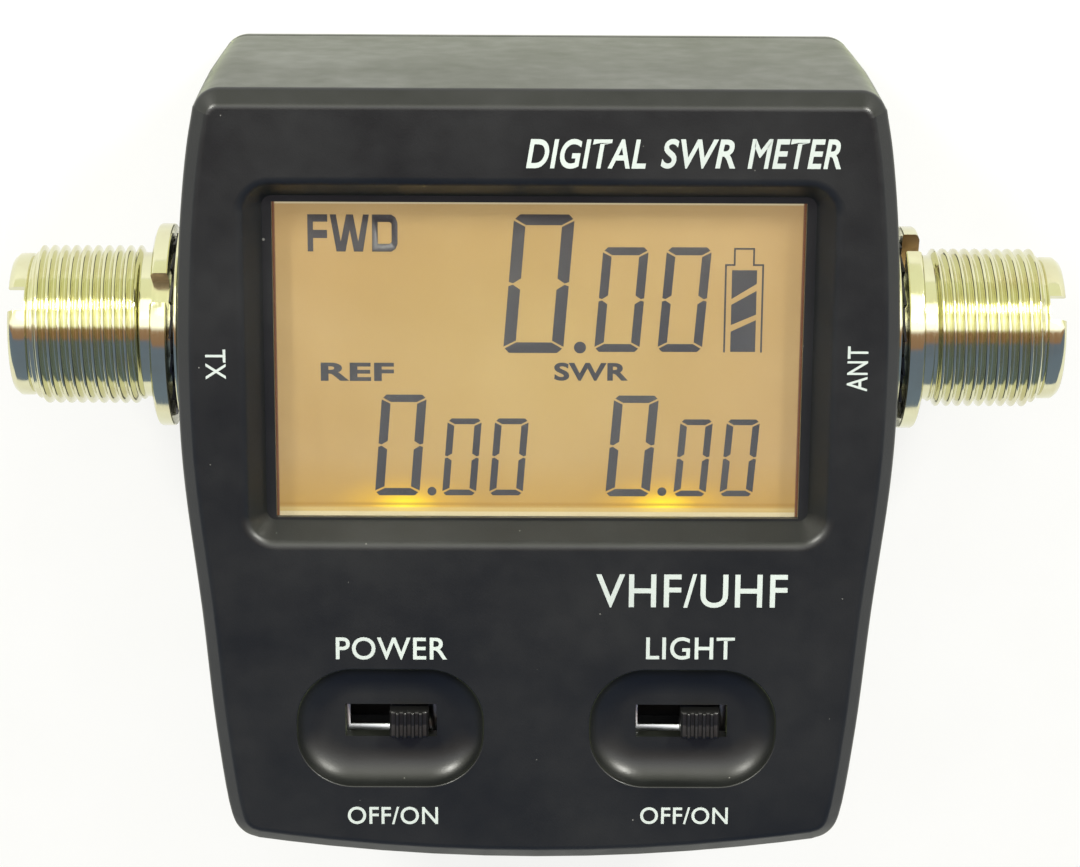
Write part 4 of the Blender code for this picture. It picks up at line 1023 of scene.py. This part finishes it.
recoat(("coupler_trough",), finished("tin_plate", turned,
                                     {"Colour": (0.60, 0.61, 0.60, 1),
                                      "Tarnish Colour": (0.40, 0.38, 0.33, 1),
                                      "Line Width": 0.0009, "Gloss": 0.3, "Tarnish": 0.7}, Metallic=1.0))
recoat(("through_line",), finished("bare_copper", turned,
                                   {"Colour": (0.80, 0.42, 0.26, 1), "Tarnish Colour": (0.38, 0.17, 0.10, 1),
                                    "Gloss": 0.26, "Tarnish": 0.6}, Metallic=1.0))
recoat(("core_forward", "core_reflected"),
       finished("ferrite_core", moulded, {"Colour": (0.030, 0.030, 0.032, 1),
                                          "Cloud Colour": (0.055, 0.053, 0.055, 1),
                                          "Grain Size": 0.0003, "Grain Depth": 0.00002, "Gloss": 0.6,
                                          "Dust": 0.05}))


def lead_sleeve(name, colour, cloud):
    return finished(name, moulded, {"Colour": colour, "Cloud Colour": cloud, "Grain Depth": 0.000004,
                                    "Gloss": 0.4,
                                    "Dust": 0.03})


recoat(("sensor_lead",), lead_sleeve("white_sleeve", (0.68, 0.68, 0.65, 1), (0.60, 0.60, 0.56, 1)))
recoat(("battery_lead_red",), lead_sleeve("red_sleeve", (0.45, 0.025, 0.02, 1), (0.36, 0.02, 0.018, 1)))
recoat(("battery_lead_black",), lead_sleeve("black_sleeve", (0.012, 0.012, 0.012, 1), (0.02, 0.02, 0.02, 1)))

# ------------------------------------------------------------------ rear cover and battery door
# The rear cover is a thin moulding in the same grained plastic, with the battery compartment behind
# the sliding door. The door rides on two side tongues and has four grip grooves and a sunk triangle.

COVER_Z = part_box("rear_shell")[0].z / MM
JOINT_Z = 2.7
BAY_X = 24.7
BAY_Y = (AXIS_Y - 44.3, AXIS_Y - 11.5)
BAY_ROOF = 14.2
BAY_WALL = 1.0
RAIL_Z = 1.6
DOOR_X = 23.5
CLEAR = 0.3
DOOR_TOP_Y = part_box("battery_door")[1].y / MM
PAST_END = -60.0
SCREW_HOLE = 1.15
FEET = ((-21.0, 20.8), (21.0, 20.8), (-27.05, -43.6), (27.05, -43.6))
FOOT_RADIUS = 2.3


def cover_blank(name):
    """The whole cover plate with its rolled edge."""
    bm = bmesh.new()
    rolled = round_corners([(1.9, COVER_Z), (0.25, COVER_Z), (-0.15, COVER_Z + 0.9), (-0.15, JOINT_Z)], 0.6)
    skin(bm, [outline_at(p.x, p.y) for p in rolled])
    return make_piece(name, bm, case_plastic)


rear_cover = cover_blank("rear_cover")
bm = bmesh.new()
block(bm, (-BAY_X - BAY_WALL, BAY_X + BAY_WALL), (BAY_Y[0] - BAY_WALL, BAY_Y[1] + BAY_WALL),
      (JOINT_Z - 0.5, BAY_ROOF + BAY_WALL))
block(bm, (-18.0, 18.0), (22.5 + AXIS_Y, 23.7 + AXIS_Y), (JOINT_Z - 0.5, 5.2))
for side in (-1, 1):
    block(bm, sorted((side * 29.9, side * 31.0)), (AXIS_Y - 8.0, AXIS_Y + 8.0), (JOINT_Z - 0.5, 5.2))
carve(rear_cover, bm, 'UNION')
for x, y, z in ((BAY_X, BAY_Y, (RAIL_Z, BAY_ROOF)), (BAY_X, (PAST_END, BAY_Y[1]), (RAIL_Z, JOINT_Z + 0.2)),
                (DOOR_X + CLEAR, (PAST_END, DOOR_TOP_Y + CLEAR), (-1.0, RAIL_Z + 0.2))):
    bm = bmesh.new()
    block(bm, (-x, x), y, z)
    carve(rear_cover, bm)
bm = bmesh.new()
for x, y, radius in CASE_SCREWS:
    round_bar(bm, (x, y + AXIS_Y), 2.1, (-1.0, 2.0))
for x, y in FEET:
    round_bar(bm, (x, y + AXIS_Y), FOOT_RADIUS + CLEAR, (-1.0, 1.3))
carve(rear_cover, bm)
bm = bmesh.new()
for x, y, radius in CASE_SCREWS:
    round_bar(bm, (x, y + AXIS_Y), SCREW_HOLE, (1.5, 4.5), 20)
carve(rear_cover, bm)
even_shading(rear_cover)
fitted(rear_cover, "rear_shell")

door = cover_blank("sliding_door")
bm = bmesh.new()
block(bm, (-DOOR_X, DOOR_X), (PAST_END, DOOR_TOP_Y), (0.0, RAIL_Z + CLEAR + 0.05))
carve(door, bm, 'INTERSECT')
bm = bmesh.new()
block(bm, (-BAY_X + CLEAR, BAY_X - CLEAR), (AXIS_Y - 46.4, DOOR_TOP_Y), (RAIL_Z + CLEAR, JOINT_Z - 0.1))
carve(door, bm, 'UNION')
bm = bmesh.new()
for k in range(4):
    y = DOOR_TOP_Y - 4.6 - 1.6 * k
    rings = []
    for share in (0.0, 0.25, 0.5, 0.75, 1.0):
        dip = 0.4 * math.sin(math.pi * (1 - share) / 2)
        rings.append(rounded_box_ring((-7.0 + 0.3 * (1 - share) - 0.1, 7.0 - 0.3 * (1 - share) + 0.1),
                                      (y - 0.15 - 0.3 * share, y + 0.15 + 0.3 * share), 0.14 + 0.2 * share,
                                      COVER_Z + dip, 4))
    rings.append([(px, py, COVER_Z - 0.5) for px, py, pz in rings[-1]])
    skin(bm, rings)
skin(bm, [[(-1.6, DOOR_TOP_Y - 12.2, z), (1.6, DOOR_TOP_Y - 12.2, z), (0.0, DOOR_TOP_Y - 14.6, z)]
          for z in (COVER_Z - 0.5, COVER_Z + 0.25)])
carve(door, bm)
even_shading(door)
fitted(door, "battery_door", "door")

# ------------------------------------------------------------------ battery
# Three AAA cells lie across the meter, each the other way round from its neighbour. Nickel-plated
# spring steel contacts stand in the ends of the bay: flat with a dimple for the positive end, a
# coiled spring for the negative end, and two wide ones that bridge neighbouring cells.

CELL_RADIUS = 5.25
CELL_HALF = 22.25
CELL_SHIFT = 1.2
CELL_Z = 8.6
CELL_Y = [BAY_Y[1] - 5.6 - 10.8 * k for k in range(3)]


def cell_jacket():
    """Printed plastic sleeve: dark green with a plain copper-coloured band at the positive end."""
    material = bpy.data.materials.new("cell_sleeve")
    material.use_nodes = True
    tree = material.node_tree
    shader = tree.nodes["Principled BSDF"]
    place = node(tree, 'ShaderNodeTexCoord').outputs['UV']
    along = node(tree, 'ShaderNodeSeparateXYZ', {0: place}).outputs[0]
    scuff = node(tree, 'ShaderNodeTexNoise', {'Scale': 60.0, 'Detail': 4.0})
    green = blended(tree, between(tree, scuff.outputs[0], 0.3, 0.7), (0.010, 0.075, 0.045, 1),
                    (0.016, 0.095, 0.06, 1))
    band = maths(tree, 'GREATER_THAN', along, 0.78)
    thin = maths(tree, 'MULTIPLY', maths(tree, 'GREATER_THAN', along, 0.74),
                 maths(tree, 'LESS_THAN', along, 0.76))
    printed = blended(tree, maths(tree, 'MAXIMUM', band, thin), green, (0.55, 0.27, 0.11, 1))
    tree.links.new(printed, shader.inputs["Base Color"])
    tree.links.new(between(tree, scuff.outputs[0], 0.3, 0.7, 0.24, 0.36), shader.inputs["Roughness"])
    ripple = node(tree, 'ShaderNodeBump', {'Strength': 0.3, 'Distance': 0.00002, 'Height': scuff.outputs[0]})
    tree.links.new(ripple.outputs[0], shader.inputs["Normal"])
    shader.inputs["Metallic"].default_value = 0.3
    return material


sleeve = cell_jacket()
for k, y in enumerate(CELL_Y):
    facing = 1 - 2 * (k % 2)
    profile = [(0.0, -CELL_HALF), (4.1, -CELL_HALF), (4.4, -CELL_HALF + 0.15), (4.75, -CELL_HALF + 0.1),
               (5.1, -CELL_HALF + 0.2), (CELL_RADIUS, -CELL_HALF + 0.55), (CELL_RADIUS, CELL_HALF - 1.7),
               (5.1, CELL_HALF - 1.2), (4.7, CELL_HALF - 1.0), (4.2, CELL_HALF - 1.1),
               (2.1, CELL_HALF - 1.05),
               (1.9, CELL_HALF - 0.9), (1.85, CELL_HALF - 0.25), (1.6, CELL_HALF), (0.0, CELL_HALF)]
    bm = bmesh.new()
    uv = bm.loops.layers.uv.new("sleeve_print")
    segments = 48
    middle = facing * CELL_SHIFT
    loops = []
    for step in range(segments):
        a = 2 * math.pi * step / segments
        loops.append([bm.verts.new((middle + facing * along, y + r * math.cos(a), CELL_Z + r * math.sin(a)))
                      for r, along in profile])
    for step in range(segments):
        first, second = loops[step], loops[(step + 1) % segments]
        for i in range(len(profile) - 1):
            face = bm.faces.new((first[i], first[i + 1], second[i + 1], second[i]))
            face.material_index = 0 if 3 <= i <= 7 else 1
            for loop, j, turn in zip(face.loops, (i, i + 1, i + 1, i), (step, step, step + 1, step + 1)):
                loop[uv].uv = ((profile[j][1] + CELL_HALF) / (2 * CELL_HALF), turn / segments)
    cell = make_piece("aaa_cell_%d" % (k + 1), bm, sleeve, 40)
    cell.data.materials.append(screw_steel)
    fitted(cell, "cell_%d" % (k + 1))

contact_metal = finished("contact_nickel_steel", turned,
                         {"Colour": (0.74, 0.73, 0.68, 1), "Tarnish Colour": (0.5, 0.45, 0.34, 1),
                          "Line Width": 0.0006, "Gloss": 0.22, "Tarnish": 0.4}, Metallic=1.0)
WIRE = 0.28


def coiled_spring(bm, y, start, finish):
    """A conical spring from the plate to the cell's flat end, its last turn closed."""
    turns = 3.2
    steps = 96
    path = []
    for k in range(steps + 1):
        t = k / steps
        a = 2 * math.pi * turns * t
        radius = 3.3 - 1.3 * t
        path.append(Vector((start + (finish - start) * t, y + radius * math.cos(a), CELL_Z
                            + radius * math.sin(a))))
    rings = []
    for k, point in enumerate(path):
        along = (path[min(k + 1, steps)] - path[max(k - 1, 0)]).normalized()
        out = along.cross(Vector((1.0, 0.0, 0.0))).normalized()
        up = along.cross(out)
        rings.append([tuple(point + WIRE * (math.cos(b) * out + math.sin(b) * up))
                      for b in (2 * math.pi * n / 8 for n in range(8))])
    skin(bm, rings)


contacts = (("positive", 1, (0,)), ("bridge_right", 1, (1, 2)), ("bridge_left", -1, (0, 1)),
            ("negative", -1, (2,)))
for label, end, served in contacts:
    face = (BAY_X - 0.7) * end
    back = (BAY_X - 0.3) * end
    y = (min(CELL_Y[k] for k in served) - 4.0, max(CELL_Y[k] for k in served) + 4.0)
    bm = bmesh.new()
    ring = rounded_box_ring(y, (4.6, 12.4), 0.9, 0.0, 5)
    skin(bm, [[(level, u, v) for u, v, w in ring] for level in (face, back)])
    for k in served:
        if end == 2 * (k % 2) - 1:
            coiled_spring(bm, CELL_Y[k], face - end * WIRE * 0.8, end * (CELL_HALF - CELL_SHIFT + 0.3 + WIRE))
    piece = make_piece("contact_plate_" + label, bm, contact_metal, 35)
    fitted(piece, "contact_" + label)

# ------------------------------------------------------------------ rear screws and feet
# Four cross-recess screws pull the rear cover up against the posts, and four round rubber feet are
# pressed into shallow recesses beside them.

for k, (x, y, radius) in enumerate(CASE_SCREWS, 1):
    profile = [(0.0, 1.0), (0.9, 1.0), (1.35, 1.06), (1.62, 1.2), (1.75, 1.4), (1.75, 1.62), (1.65, 1.7),
               (0.85, 1.72),
               (0.85, 9.0), (0.3, 9.9), (0.0, 9.9)]
    bm = bmesh.new()
    skin(bm, [[(x + r * math.cos(a), y + AXIS_Y + r * math.sin(a), z)
               for a in (2 * math.pi * n / 32 for n in range(32))] for r, z in profile[1:-1]])
    screw = make_piece("cover_screw_%d" % k, bm, screw_steel, 30)
    bm = bmesh.new()
    for turn in (35, 125):
        rings = []
        for z, length, width in ((0.5, 1.1, 0.26), (1.0, 1.0, 0.24), (1.55, 0.45, 0.13)):
            a = math.radians(turn)
            c, s = math.cos(a), math.sin(a)
            rings.append([(x + u * c - v * s, y + AXIS_Y + u * s + v * c, z)
                          for u, v in ((-length, -width), (length, -width), (length, width),
                                       (-length, width))])
        skin(bm, rings)
    carve(screw, bm)
    even_shading(screw, 30)
    fitted(screw, "case_screw_%d" % k)

foot_rubber = finished("foot_rubber", moulded,
                       {"Colour": (0.022, 0.022, 0.022, 1), "Cloud Colour": (0.04, 0.04, 0.038, 1),
                        "Grain Size": 0.0002, "Grain Depth": 0.00001, "Gloss": 0.75, "Dust": 0.2})
for k, (x, y) in enumerate(FEET, 1):
    profile = ((0.9, 0.16), (1.1, 0.05), (1.35, 0.0), (1.85, 0.0), (2.1, 0.07), (2.25, 0.2),
               (FOOT_RADIUS, 0.4),
               (FOOT_RADIUS, 1.0))
    bm = bmesh.new()
    skin(bm, [[(x + r * math.cos(a), y + AXIS_Y + r * math.sin(a), z)
               for a in (2 * math.pi * n / 40 for n in range(40))] for r, z in profile])
    fitted(make_piece("pressed_foot_%d" % k, bm, foot_rubber, 50), "rubber_foot_%d" % k)

# ------------------------------------------------------------------ stage, light and camera
# The meter lies on its back on a plain pale table in a light tent. The tent is open on the side below
# the meter's lower edge, so the metal there reflects a dim blue-grey room.

bm = bmesh.new()
FLOOR = 1500.0
skin(bm, [[(-FLOOR, -FLOOR, z), (FLOOR, -FLOOR, z), (FLOOR, FLOOR, z), (-FLOOR, FLOOR, z)]
          for z in (-20.0, 0.0)])
floor_paper = finished("floor_paper", moulded,
                       {"Colour": (0.10, 0.10, 0.096, 1), "Cloud Colour": (0.095, 0.095, 0.09, 1),
                        "Dust Colour": (0.8, 0.8, 0.78, 1), "Grain Size": 0.0006, "Grain Depth": 0.00001,
                        "Gloss": 0.85, "Dust": 0.0},
                       Emission_Color=(1.0, 1.0, 0.975, 1), Emission_Strength=0.84)
floor = make_piece("table_top", bm, floor_paper)

world = bpy.data.worlds.new("light_tent")
bpy.context.scene.world = world
world.use_nodes = True
tree = world.node_tree
direction = node(tree, 'ShaderNodeTexCoord').outputs['Generated']
axes = node(tree, 'ShaderNodeSeparateXYZ', {0: direction})
tilt = maths(tree, 'ARCTAN2', maths(tree, 'MULTIPLY', axes.outputs[1], -1.0), axes.outputs[2])
turn = between(tree, tilt, -math.pi, math.pi)
ramp = node(tree, 'ShaderNodeValToRGB', {0: turn})
stops = ((-180, (0.9, 0.9, 0.8)), (-90, (1.0, 1.02, 0.80)), (-34, (0.98, 0.98, 0.72)), (-22, (1.8, 1.8, 1.9)),
         (-11, (1.8, 1.8, 1.9)), (-6, (0.37, 0.22, 0.15)), (10, (0.33, 0.20, 0.15)),
         (14, (0.155, 0.20, 0.34)),
         (90, (0.175, 0.23, 0.37)), (92, (0.9, 0.9, 0.8)), (180, (0.9, 0.9, 0.8)))
points = ramp.color_ramp.elements
while len(points) < len(stops):
    points.new(0.5)
for point, (angle, colour) in zip(points, stops):
    point.position = (angle + 180) / 360
for point, (angle, colour) in zip(points, stops):
    point.color = (*colour, 1)
tree.links.new(ramp.outputs[0], tree.nodes["Background"].inputs[0])


def soft_light(name, place, target, size, power, colour):
    data = bpy.data.lights.new(name, 'AREA')
    data.shape = 'RECTANGLE'
    data.size, data.size_y = size
    data.energy = power
    data.color = colour
    lamp = bpy.data.objects.new(name, data)
    bpy.context.scene.collection.objects.link(lamp)
    lamp.location = place
    lamp.rotation_euler = (Vector(target) - Vector(place)).to_track_quat('-Z', 'Y').to_euler()


soft_light("upper_softbox", (0.10, 0.55, 0.75), (0.0, 0.0, 0.02), (0.7, 0.5), 1.5, (1.0, 0.99, 0.95))
soft_light("left_lamp", (-0.40, 0.42, 0.42), (0.0, 0.0, 0.02), (0.12, 0.12), 5.0, (1.0, 0.99, 0.92))
soft_light("right_lamp", (0.40, 0.42, 0.42), (0.0, 0.0, 0.02), (0.12, 0.12), 5.0, (1.0, 0.99, 0.92))

camera_data = bpy.data.cameras.new("camera")
camera_data.lens = 100.09
camera_data.sensor_width = 36.0
camera_data.clip_start = 0.01
camera_data.clip_end = 10.0
camera = bpy.data.objects.new("camera", camera_data)
bpy.context.scene.collection.objects.link(camera)
right = Vector((0.99994435, 0.00614624, 0.00857434))
up = Vector((-0.00357753, 0.96215558, -0.27247723))
back = right.cross(up)
camera.matrix_world = Matrix.Translation((-0.00262, 0.08181, 0.30493)) @ Matrix((right, up,
                                                                                 back)).transposed().to_4x4()
bpy.context.scene.camera = camera
bpy.context.scene.view_settings.view_transform = 'Standard'
